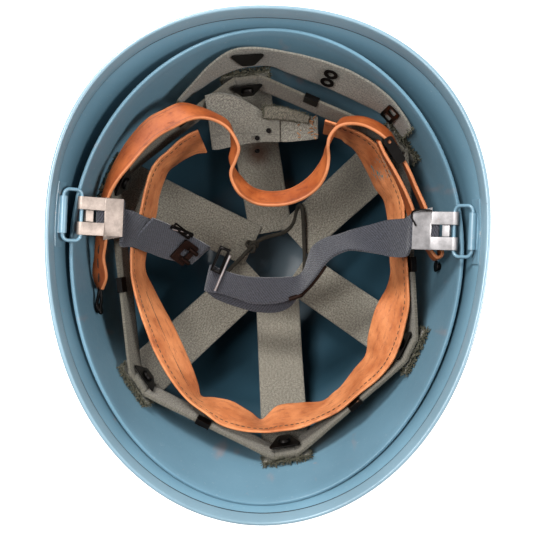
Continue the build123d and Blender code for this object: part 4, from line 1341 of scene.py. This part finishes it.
# %% Rear webbing
headband_strap_shares = (
    (-0.332, 0.814, 1.094, -0.304, 0.591, 0.795),
    (-0.299, 0.826, 1.085, -0.279, 0.592, 0.795),
    (-0.251, 0.836, 1.069, -0.247, 0.597, 0.804),
    (-0.174, 0.831, 1.002, -0.196, 0.608, 0.816),
    (-0.110, 0.813, 0.915, -0.134, 0.620, 0.827),
    (-0.043, 0.784, 0.886, -0.047, 0.632, 0.842),
    (0.039, 0.763, 0.882, 0.045, 0.635, 0.848),
)
headband_tab_shares = (
    (0.233, 0.772, 0.878, 0.239, 0.658, 0.853),
    (0.141, 0.764, 0.872, 0.153, 0.646, 0.841),
    (0.050, 0.756, 0.862, 0.066, 0.638, 0.830),
    (-0.021, 0.754, 0.857, -0.006, 0.641, 0.825),
    (-0.083, 0.747, 0.853, -0.068, 0.634, 0.820),
)
headband_loop_shares = (
    (-0.044, 0.806, 0.908, -0.047, 0.747, 0.897),
    (0.012, 0.809, 0.908, 0.004, 0.744, 0.897),
    (0.078, 0.802, 0.905, 0.071, 0.742, 0.892),
    (0.140, 0.785, 0.901, 0.132, 0.735, 0.888),
    (0.191, 0.766, 0.903, 0.183, 0.732, 0.891),
)
rear_routes = {}
for name, shares, cover, held in (
    ("headband_strap", headband_strap_shares, olive_strap, "stretched"),
    ("headband_tab", headband_tab_shares, olive_strap, "stretched"),
    ("headband_loop", headband_loop_shares, ring_cloth, None),
):
    route = Route(shares)
    rear_routes[name] = route
    strap(name + "_webbing", route, webbing_thick, cover, name, ripple=0.3 * mm, seed=len(name))
print("rear webbing", {name: round(route.length / mm) for name, route in rear_routes.items()}, "mm long")

# %% [markdown]
# ## Loose stitching
# The tab's seam has come undone, and orange threads stand up from it. The dark loop has a
# fringe on all its cut edges.

# %% Loose stitching
tab_route, loop_route = rear_routes["headband_tab"], rear_routes["headband_loop"]
leftward = Vector((-1, 0, 0))
loose = tuft(tab_route.at(2, 0.1), tab_route.at(2, 0.9), upward, leftward, 14, 6 * mm)
loose += tuft(tab_route.at(6, 0.2), tab_route.at(6, 0.9), upward * 0.6, Vector((-1, 0.4, 0)), 8, 4 * mm)
wires("loose_stitching", loose, 0.3 * mm, orange_thread, sides=1)
loop_fray = []
for row in range(0, len(loop_route.runs) - 4, 4):
    for side in (0, 1):
        outward = Vector((0, 1 - 2 * side, 0))
        loop_fray += tuft(loop_route.at(row, side), loop_route.at(row + 4, side), upward, outward, 9, 2 * mm)
loop_fray += tuft(loop_route.at(0, 0), loop_route.at(0, 1), upward, leftward, 30, 3 * mm)
wires("loop_threads", loop_fray, thread_radius, olive_thread, sides=1)
print("loose threads", len(loose) + len(loop_fray))

# %% [markdown]
# ## Rivet on the rear arm
# A small domed rivet sits on the rear arm in the middle of its rust stain. It is a flattened
# ball at the arm's point that lies nearest to the stain in plan.

# %% Rivet on the rear arm
back_arm = arm_routes["back"]
spots = [(row, share / 10) for row in range(len(back_arm.runs)) for share in range(1, 10)]
spot = min(spots, key=lambda place: (back_arm.at(*place).to_2d() - Vector(rust_place[:2])).length)
bm = bmesh.new()
bmesh.ops.create_uvsphere(bm, u_segments=20, v_segments=10, radius=1.7 * mm)
bmesh.ops.scale(bm, vec=(1, 1, 0.5), verts=bm.verts)
bmesh.ops.translate(bm, vec=back_arm.at(*spot) + upward * 1.2 * mm, verts=bm.verts)
add_piece("arm_rivet", finish_mesh(bm, "arm_rivet"), black_metal)
print("rivet on the back arm at", [round(v / mm, 1) for v in back_arm.at(*spot)])

# %% [markdown]
# ## Nape strap
# The nape strap lies along the liner's wall above the rear webbing, and both its ends fray.

# %% Nape strap
nape_shares = (
    (-0.458, 0.776, 1.143, -0.461, 0.798, 0.946),
    (-0.399, 0.839, 1.185, -0.378, 0.860, 0.990),
    (-0.328, 0.914, 1.234, -0.294, 0.910, 1.040),
    (-0.257, 0.972, 1.268, -0.216, 0.945, 1.073),
    (-0.197, 1.004, 1.284, -0.168, 0.960, 1.087),
    (-0.132, 1.014, 1.292, -0.127, 0.970, 1.095),
    (-0.061, 1.017, 1.292, -0.065, 0.977, 1.095),
    (0.005, 1.012, 1.284, -0.007, 0.975, 1.089),
    (0.071, 1.002, 1.276, 0.053, 0.954, 1.084),
    (0.142, 0.993, 1.268, 0.123, 0.933, 1.079),
    (0.214, 0.979, 1.259, 0.187, 0.912, 1.074),
    (0.285, 0.958, 1.259, 0.252, 0.890, 1.075),
    (0.358, 0.935, 1.251, 0.317, 0.865, 1.069),
    (0.421, 0.904, 1.251, 0.372, 0.843, 1.068),
    (0.484, 0.869, 1.251, 0.432, 0.816, 1.066),
    (0.541, 0.823, 1.259, 0.497, 0.789, 1.068),
    (0.591, 0.773, 1.259, 0.562, 0.752, 1.063),
    (0.631, 0.718, 1.259, 0.612, 0.703, 1.061),
    (0.663, 0.670, 1.243, 0.648, 0.658, 1.044),
)
nape_route = Route(nape_shares)
strap(
    "nape_strap_webbing",
    nape_route,
    webbing_thick,
    olive_strap,
    "nape_strap",
    ripple=0.4 * mm,
    seed=3,
)
end_travel = nape_route.middles[-1] - nape_route.middles[-4]
start_travel = nape_route.middles[0] - nape_route.middles[3]
nape_fray = tuft(nape_route.at(-1, 0), nape_route.at(-1, 1), end_travel, upward, 70, 5 * mm)
nape_fray += tuft(nape_route.at(0, 0), nape_route.at(0, 1), start_travel, upward, 50, 3 * mm)
wires("nape_threads", nape_fray, thread_radius, olive_thread, sides=1)
print("nape strap", round(nape_route.length / mm), "mm")

# %% [markdown]
# ## Leather strap
# The leather strap of the liner is 13 mm wide. It starts at a stud on the left, swings round
# over the arms, and doubles back from the right stud to its slider. Its left end has slots,
# which are dark beads on both faces: painted shade in the openings. A bent wire hooks it on the stud.

# %% Leather strap
leather_shares = (
    (-0.797, -0.153, 1.077, -0.830, -0.152, 0.976),
    (-0.770, -0.088, 1.110, -0.850, -0.082, 1.039),
    (-0.783, 0.003, 1.143, -0.842, 0.011, 1.054),
    (-0.771, 0.076, 1.176, -0.834, 0.075, 1.089),
    (-0.768, 0.176, 1.193, -0.822, 0.178, 1.100),
    (-0.769, 0.282, 1.185, -0.814, 0.291, 1.087),
    (-0.726, 0.368, 1.210, -0.779, 0.402, 1.122),
    (-0.663, 0.451, 1.210, -0.732, 0.503, 1.145),
    (-0.596, 0.536, 1.201, -0.675, 0.596, 1.160),
    (-0.531, 0.596, 1.201, -0.600, 0.678, 1.186),
    (-0.461, 0.638, 1.201, -0.521, 0.726, 1.186),
    (-0.391, 0.676, 1.201, -0.446, 0.763, 1.168),
    (-0.321, 0.690, 1.193, -0.362, 0.755, 1.118),
    (-0.249, 0.673, 1.185, -0.279, 0.728, 1.097),
    (-0.195, 0.633, 1.176, -0.210, 0.684, 1.083),
    (-0.154, 0.564, 1.160, -0.192, 0.584, 1.061),
    (-0.166, 0.503, 1.143, -0.200, 0.522, 1.043),
    (-0.189, 0.450, 1.127, -0.178, 0.471, 1.021),
    (-0.182, 0.399, 1.110, -0.142, 0.433, 1.016),
    (-0.141, 0.338, 1.094, -0.101, 0.395, 1.012),
    (-0.067, 0.301, 1.044, -0.051, 0.376, 0.969),
    (0.017, 0.294, 1.044, 0.015, 0.369, 0.966),
    (0.105, 0.307, 1.052, 0.089, 0.381, 0.976),
    (0.187, 0.345, 1.060, 0.152, 0.413, 0.985),
    (0.247, 0.399, 1.085, 0.204, 0.458, 1.006),
    (0.277, 0.466, 1.118, 0.241, 0.508, 1.026),
    (0.283, 0.533, 1.127, 0.264, 0.554, 1.023),
    (0.274, 0.587, 1.160, 0.275, 0.595, 1.052),
    (0.281, 0.635, 1.168, 0.306, 0.663, 1.067),
    (0.317, 0.678, 1.176, 0.337, 0.726, 1.082),
    (0.374, 0.694, 1.185, 0.389, 0.742, 1.090),
    (0.442, 0.690, 1.168, 0.459, 0.742, 1.076),
    (0.510, 0.658, 1.176, 0.528, 0.714, 1.086),
    (0.563, 0.615, 1.189, 0.582, 0.666, 1.096),
    (0.619, 0.555, 1.189, 0.621, 0.591, 1.087),
    (0.665, 0.485, 1.189, 0.659, 0.510, 1.084),
    (0.707, 0.401, 1.185, 0.703, 0.414, 1.078),
    (0.746, 0.320, 1.201, 0.743, 0.327, 1.094),
    (0.781, 0.240, 1.214, 0.774, 0.244, 1.106),
    (0.812, 0.155, 1.218, 0.806, 0.158, 1.110),
    (0.835, 0.114, 1.210, 0.834, 0.115, 1.102),
    (0.839, 0.085, 1.193, 0.838, 0.077, 1.086),
    (0.815, 0.075, 1.193, 0.814, 0.066, 1.086),
    (0.781, 0.112, 1.189, 0.784, 0.109, 1.081),
    (0.751, 0.154, 1.185, 0.748, 0.156, 1.077),
    (0.713, 0.248, 1.185, 0.695, 0.252, 1.079),
    (0.681, 0.328, 1.185, 0.667, 0.334, 1.078),
    (0.640, 0.408, 1.185, 0.629, 0.426, 1.079),
    (0.593, 0.487, 1.185, 0.581, 0.512, 1.081),
    (0.548, 0.558, 1.181, 0.539, 0.584, 1.076),
    (0.517, 0.619, 1.176, 0.518, 0.642, 1.071),
)
leather_thick = 2 * mm
leather_route = Route(leather_shares)
strap("liner_chinstrap_leather", leather_route, leather_thick, tan_leather, "liner_chinstrap", seed=8)
# The slots are dark beads on both faces: painted shade where the openings are.
for number, side in enumerate((-1, 1)):
    stitches(
        f"leather_slots_{number}",
        leather_route,
        share=0.5,
        pitch=9 * mm,
        long=7 * mm,
        radius=0.9 * mm,
        lift=side * leather_thick * 0.36,
        material=slot_shade_leather,
        last=40 * mm,
    )
print("leather strap", round(leather_route.length / mm), "mm")

# %% [markdown]
# ## Hook of the leather strap
# The hook is one wire bent double: it leaves the strap's end on both sides and closes over
# the stud. The stud's place is read from the CAD piece.

# %% Hook of the leather strap
stud_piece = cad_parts["garter_studs"]
studs = [stud_piece.matrix_world @ vertex.co for vertex in stud_piece.data.vertices]
left_stud = [place for place in studs if place.x < 0]
stud_middle = sum(left_stud, Vector()) / len(left_stud)
strap_end = leather_route.middles[2]
hook_side = Vector((0.6, -0.8, 0)) * 1.6 * mm
hook_lines = []
for way in (-1, 1):
    halfway = strap_end.lerp(stud_middle, 0.5) + hook_side * way
    over = stud_middle + hook_side * way + Vector((0, 0, 3 * mm))
    behind = stud_middle + Vector((1.5, -2, 2)) * mm
    hook_lines.append(curve_through([strap_end, halfway, over, behind], 6))
wires("stud_hook", hook_lines, 0.95 * mm, black_metal)
print("hook on the stud at", [round(v / mm) for v in stud_middle])

# %% [markdown]
# ## The pot's chin strap
# Slate webbing, 20 mm wide, in two halves. Each half is gripped by the clip on its bail and
# swings with it, so each rides on its clip's body. The left half is folded back on itself
# under the hook; the right half twists on to its edge, passes round the buckle's bar and
# returns to its brown metal end.

# %% Chin strap webbing
left_strap_shares = (
    (-0.801, 0.278, 1.300, -0.801, 0.113, 1.300),
    (-0.744, 0.278, 1.266, -0.744, 0.113, 1.266),
    (-0.688, 0.278, 1.232, -0.688, 0.113, 1.232),
    (-0.703, 0.245, 1.201, -0.695, 0.064, 1.201),
    (-0.657, 0.236, 1.152, -0.664, 0.061, 1.152),
    (-0.609, 0.216, 1.098, -0.637, 0.059, 1.098),
    (-0.561, 0.201, 1.044, -0.609, 0.046, 1.044),
    (-0.512, 0.186, 0.986, -0.580, 0.038, 0.986),
    (-0.452, 0.161, 0.915, -0.538, 0.021, 0.911),
    (-0.385, 0.130, 0.841, -0.484, 0.008, 0.824),
    (-0.330, 0.102, 0.808, -0.426, 0.000, 0.783),
    (-0.304, 0.088, 0.795, -0.401, -0.004, 0.766),
    (-0.293, 0.086, 0.812, -0.389, -0.006, 0.783),
    (-0.312, 0.095, 0.833, -0.409, 0.001, 0.804),
    (-0.367, 0.125, 0.878, -0.470, 0.008, 0.866),
    (-0.439, 0.160, 0.953, -0.544, 0.025, 0.949),
    (-0.503, 0.189, 1.027, -0.606, 0.051, 1.027),
    (-0.560, 0.208, 1.098, -0.661, 0.082, 1.110),
)
right_strap_shares = (
    (0.801, 0.278, 1.300, 0.801, 0.113, 1.300),
    (0.744, 0.278, 1.266, 0.744, 0.113, 1.266),
    (0.688, 0.278, 1.232, 0.688, 0.113, 1.232),
    (0.658, 0.254, 1.201, 0.666, 0.071, 1.201),
    (0.581, 0.245, 1.131, 0.607, 0.067, 1.139),
    (0.501, 0.220, 1.073, 0.542, 0.079, 1.106),
    (0.419, 0.194, 1.015, 0.465, 0.090, 1.089),
    (0.349, 0.167, 0.965, 0.398, 0.093, 1.073),
    (0.287, 0.146, 0.924, 0.333, 0.061, 1.044),
    (0.234, 0.104, 0.895, 0.288, 0.015, 1.007),
    (0.213, 0.037, 0.874, 0.257, -0.037, 0.969),
    (0.195, -0.015, 0.862, 0.221, -0.089, 0.924),
    (0.161, -0.047, 0.853, 0.184, -0.133, 0.874),
    (0.110, -0.054, 0.845, 0.136, -0.167, 0.820),
    (0.049, -0.060, 0.837, 0.060, -0.192, 0.775),
    (-0.054, -0.064, 0.837, -0.054, -0.200, 0.762),
    (-0.142, -0.055, 0.833, -0.149, -0.175, 0.766),
    (-0.215, -0.035, 0.824, -0.233, -0.153, 0.779),
    (-0.262, -0.016, 0.816, -0.285, -0.150, 0.779),
    (-0.284, -0.009, 0.795, -0.312, -0.143, 0.758),
    (-0.269, -0.027, 0.771, -0.297, -0.157, 0.733),
    (-0.216, -0.064, 0.758, -0.250, -0.187, 0.717),
    (-0.142, -0.097, 0.754, -0.154, -0.220, 0.708),
    (-0.047, -0.114, 0.750, -0.042, -0.244, 0.704),
    (0.051, -0.105, 0.754, 0.068, -0.242, 0.713),
    (0.128, -0.070, 0.762, 0.140, -0.207, 0.729),
    (0.193, -0.026, 0.775, 0.164, -0.168, 0.750),
    (0.239, 0.005, 0.783, 0.173, -0.146, 0.762),
    (0.274, 0.027, 0.791, 0.182, -0.130, 0.775),
)
left_route = Route(left_strap_shares)
right_route = Route(right_strap_shares)
for side, route, seed in (("left", left_route, 21), ("right", right_route, 22)):
    strap(
        side + "_strap_slate",
        route,
        webbing_thick,
        slate_cloth,
        side + "_strap_webbing",
        side + "_clip",
        ripple=0.3 * mm,
        seed=seed,
    )
print("halves", round(left_route.length / mm), "and", round(right_route.length / mm), "mm")

# %% [markdown]
# ## Fittings
# Bails, washers, rivets, studs and small buckles keep the form that the CAD gives them. A
# copy of each is merged, so that its edges can be bevelled, and is given its metal.

# %% Fittings
small_fittings = (
    "suspension_rivets",
    "a_washers",
    "headband_clips",
    "headband_rivets",
    "nape_washer",
    "nape_eyelets",
    "nape_buckle",
    "garter_studs",
    "leather_slider",
)
for side in ("left", "right"):
    dressed(side + "_bail_bracket", bail_enamel, 0.15 * mm)
    dressed(side + "_bail", bail_enamel, 0.05 * mm, side + "_bail")
dressed("strap_hook", brown_brass, 0.2 * mm, "left_clip")
dressed("strap_slide", black_metal, 0.15 * mm, "left_clip")
dressed("strap_tip", brown_brass, 0.15 * mm, "right_clip")
for node in small_fittings:
    dressed(node, black_metal, 0.18 * mm)
print("fittings", len(small_fittings))

# %% [markdown]
# ## Buckle, slide and strap end
# The strap's buckle is a dark plate of bent wire beside a bright rod, and both lean as in the
# photograph. The slide on the left half has a core and a few bright wire strips laid on it:
# painted highlights. The strap's brown end follows the webbing's lower edge down to a folded corner.

# %% Buckle
buckle_top = Vector((-22.4, 5.4, 105.6)) * mm
buckle_foot = Vector((-31.2, -17.0, 97.4)) * mm
buckle_long = (buckle_foot - buckle_top).normalized()
buckle_across = Vector((buckle_long.y, -buckle_long.x, 0)).normalized()
plate = []
for run, reach in ((-2.4, 1.6), (-2.4, 7.0), (13.2, 7.0), (13.2, 1.6)):
    plate.append(buckle_top + buckle_long * run * mm + buckle_across * reach * mm)
wires("buckle_plate", [plate], 1.35 * mm, black_metal, "right_clip", ("strap_buckle",), True, 3)
wires("buckle_rod", [[buckle_top, buckle_foot]], 0.8 * mm, bright_wire, "right_clip", sides=3)
print("buckle", round((buckle_foot - buckle_top).length / mm), "mm long")

# %% [markdown]
# ## Slide and strap end
# The slide's two ends are read from the CAD piece. The strap's end is drawn on the rows of
# the right half's lower edge.

# %% Slide and strap end
slide_points = [vertex.co.copy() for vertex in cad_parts["strap_slide"].data.vertices]
slide_points.sort(key=lambda place: place.x)
slide_ends = [sum(group, Vector()) / len(group) for group in (slide_points[:12], slide_points[-12:])]
wires("slide_core", [slide_ends], 1.5 * mm, black_metal, "left_clip", sides=3)
# Painted highlights: short bright wires laid along the slide's core.
glints = []
for share, aside in ((0.02, 1.3), (0.42, 0.4), (0.75, 1.0)):
    start = slide_ends[0].lerp(slide_ends[1], share) + Vector((0.3, -aside, 1.4)) * mm
    glints.append([start, start.lerp(slide_ends[1], 0.25)])
wires("slide_glints", glints, 0.4 * mm, bright_wire, "left_clip")

tip_shift = Vector((0.9, -0.9, -1.2)) * mm
tip_line = [Vector(row[3:]) * half_width + tip_shift for row in right_strap_shares[9:13]]
tip_corner = tip_line[-1] + Vector((-7.5, -3.2, -4)) * mm
wires("tip_edge", [curve_through(tip_line, 4)], 1.05 * mm, brown_brass, "right_clip", sides=3)
wires("tip_corner", [[tip_line[-1], tip_corner]], 1.5 * mm, brown_brass, "right_clip", sides=3)

# %% [markdown]
# ## Strap clips
# A clip is folded from sheet steel round the bail's bar. Two fingers lead from the bar to
# the plate that grips the webbing, and each finger lies a little lower than the plate, so a
# step shows between them. A bright tongue crosses the opening between the fingers. The
# profile is drawn once, as a line in the clip's own plane, and given its width per leaf.

# %% Clip sizes and profiles
clip_width = 21.5 * mm
clip_length = 24 * mm
clip_wall = 0.9 * mm
clip_leaf = 1.8 * mm
clip_gap = 7 * mm
clip_plate_start = 12.6 * mm
clip_drop = radians(31)
finger_level = clip_leaf - 0.45 * mm
tongue_level = finger_level - 0.3 * mm
tongue_play = 0.3 * mm


def arc(start, end, count=8):
    """Points round the bail's bar, between two angles in degrees."""
    turns = [radians(start + (end - start) * step / count) for step in range(count + 1)]
    return [(clip_leaf * cos(turn), clip_leaf * sin(turn)) for turn in turns]


finger = [
    (clip_plate_start + 0.8 * mm, clip_leaf),
    (clip_plate_start, finger_level),
    (clip_plate_start - 5 * mm, finger_level),
    (3.4 * mm, clip_leaf),
    *arc(70, 180),
]
finger_back = [*arc(180, 270), (clip_length, -clip_leaf)]
plate_top = [
    (clip_plate_start + 0.8 * mm, clip_leaf),
    (clip_length, clip_leaf),
    (clip_length, clip_leaf - mm),
]
plate_back = [(clip_plate_start + 3 * mm, -clip_leaf), (clip_length, -clip_leaf)]
tongue = [(2.5 * mm, -clip_leaf + mm), (2.6 * mm, tongue_level), (6.6 * mm, tongue_level)]
clip_leaves = (
    (finger, -clip_width / 2, -clip_gap / 2),
    (finger_back, -clip_width / 2, -clip_gap / 2),
    (finger, clip_gap / 2, clip_width / 2),
    (finger_back, clip_gap / 2, clip_width / 2),
    (plate_top, -clip_width / 2, clip_width / 2),
    (plate_back, -clip_gap / 2, clip_gap / 2),
    (tongue, -clip_gap / 2 + tongue_play, clip_gap / 2 - tongue_play),
)
print("leaves of a clip", len(clip_leaves))

# %% Strap clips
def clip_sheet(bm, side, bar, profile, low, high):
    """One bent leaf of a clip: a profile in the clip's plane, from low to high across."""
    inward = Vector((-side * cos(clip_drop), 0, -sin(clip_drop)))
    upright = Vector((-side * sin(clip_drop), 0, cos(clip_drop)))
    start = bar + Vector((0, low, 0))
    edge = [bm.verts.new(start + inward * run + upright * rise) for run, rise in profile]
    lines = [bm.edges.new(pair) for pair in zip(edge, edge[1:])]
    made = bmesh.ops.extrude_edge_only(bm, edges=lines)["geom"]
    corners = [part for part in made if isinstance(part, bmesh.types.BMVert)]
    bmesh.ops.translate(bm, vec=(0, high - low, 0), verts=corners)


bars = {side: Vector((side * 104.43473 * mm, 23.6 * mm, 161.52783 * mm)) for side in (-1, 1)}
for side, name, steel in ((-1, "left", warm_steel), (1, "right", grey_steel)):
    bm = bmesh.new()
    for profile, low, high in clip_leaves:
        clip_sheet(bm, side, bars[side], profile, low, high)
    bmesh.ops.remove_doubles(bm, verts=bm.verts, dist=0.01 * mm)
    mesh = finish_mesh(bm, name + "_clip")
    made = add_piece(name + "_clip_sheet", mesh, steel, name + "_clip", (name + "_strap_clip",))
    solid = made.modifiers.new("thickness", "SOLIDIFY")
    solid.thickness = clip_wall
    solid.offset = 0
    soften(made, 0.15 * mm)
print("clips made")

# %% [markdown]
# ## Wire on the right clip
# A thin dark wire lies along the upper edge of the right clip and turns down at the webbing.
# Its places are given in the clip's own directions, in millimetres: along it, up from the
# plate, and across.

# %% Wire on the right clip
lip_places = (
    (13, 0.5, 11.2),
    (18, 1.2, 11.8),
    (21.5, 1.4, 11.4),
    (24.4, 0.8, 10.4),
    (24.7, 0.6, 7),
    (23, 1.0, 4.4),
    (22, 0.9, 2.5),
)
lip = []
for run, rise, across in lip_places:
    lean = Vector((-run * cos(clip_drop), 0, -run * sin(clip_drop))) * mm
    lifted = Vector((-sin(clip_drop), 0, cos(clip_drop))) * (clip_leaf + rise * mm)
    lip.append(bars[1] + lean + lifted + Vector((0, across * mm, 0)))
wires("clip_lip", [curve_through(lip, 6)], 0.55 * mm, black_metal, "right_clip", sides=3)
print("wire points", len(lip))

# %% [markdown]
# ## Floor and light
# The photograph is cut out on white. The floor is white where the camera or a reflection
# sees it, and a plain pale surface otherwise. The main light stands behind the nape on the
# left and above: the inside of the visor is the brightest part of the bowl, and the wall
# under the nape lies in shade.

# %% Floor and world
floor_size = 6.0
bm = bmesh.new()
bmesh.ops.create_grid(bm, x_segments=1, y_segments=1, size=floor_size / 2)
floor_mesh = finish_mesh(bm, "floor")
floor = bpy.data.objects.new("floor", floor_mesh)
bpy.context.scene.collection.objects.link(floor)
floor.location.z = -0.05 * mm
floor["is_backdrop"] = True
floor_material = bpy.data.materials.new("pale_floor")
floor_material.use_nodes = True
tree = floor_material.node_tree
shader = next(n for n in tree.nodes if n.type == "BSDF_PRINCIPLED")
shader.inputs["Base Color"].default_value = (0.8, 0.8, 0.8, 1)
shader.inputs["Roughness"].default_value = 0.9


def seen_rays(tree):
    """1 for the rays that show a background: those of the camera, of metal and of glass."""
    path = tree.nodes.new("ShaderNodeLightPath")
    seen = sum_of(tree, "MAXIMUM", path.outputs["Is Camera Ray"], path.outputs["Is Glossy Ray"])
    return sum_of(tree, "MAXIMUM", seen, path.outputs["Is Transmission Ray"])


glow = sum_of(tree, "MULTIPLY", seen_rays(tree), 0.85)
tree.links.new(glow, shader.inputs["Emission Strength"])
shader.inputs["Emission Color"].default_value = (1, 1, 1, 1)
floor_mesh.materials.append(floor_material)

world = bpy.data.worlds.new("studio")
bpy.context.scene.world = world
world.use_nodes = True
sky = world.node_tree.nodes["Background"]
sky.inputs["Color"].default_value = (1, 1, 1, 1)
room_light = 0.09
strength = sum_of(world.node_tree, "MAXIMUM", seen_rays(world.node_tree), room_light)
world.node_tree.links.new(strength, sky.inputs["Strength"])
print("floor and world ready")

# %% Lights
def softbox(name, place, size, power):
    """A square lamp that faces the mouth of the pot."""
    lamp_data = bpy.data.lights.new(name, "AREA")
    lamp_data.energy = power
    lamp_data.size = size
    lamp = bpy.data.objects.new(name, lamp_data)
    lamp.location = place
    lamp.rotation_euler = (mouth - Vector(place)).to_track_quat("-Z", "Y").to_euler()
    bpy.context.scene.collection.objects.link(lamp)


mouth = Vector((0, 0, 0.1))
softbox("key_light", (-0.5, 0.96, 1.12), 0.4, 25)
softbox("side_light", (1.0, -0.15, 0.95), 0.4, 12)
softbox("top_light", (-0.5, 0.16, 1.4), 0.45, 15)
print("lights ready")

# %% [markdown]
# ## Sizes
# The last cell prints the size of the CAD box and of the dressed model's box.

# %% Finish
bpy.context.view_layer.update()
for label, box in (("cad", cad_box), ("visual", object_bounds())):
    print(label, [round(v / mm) for v in box[1] - box[0]], "mm")
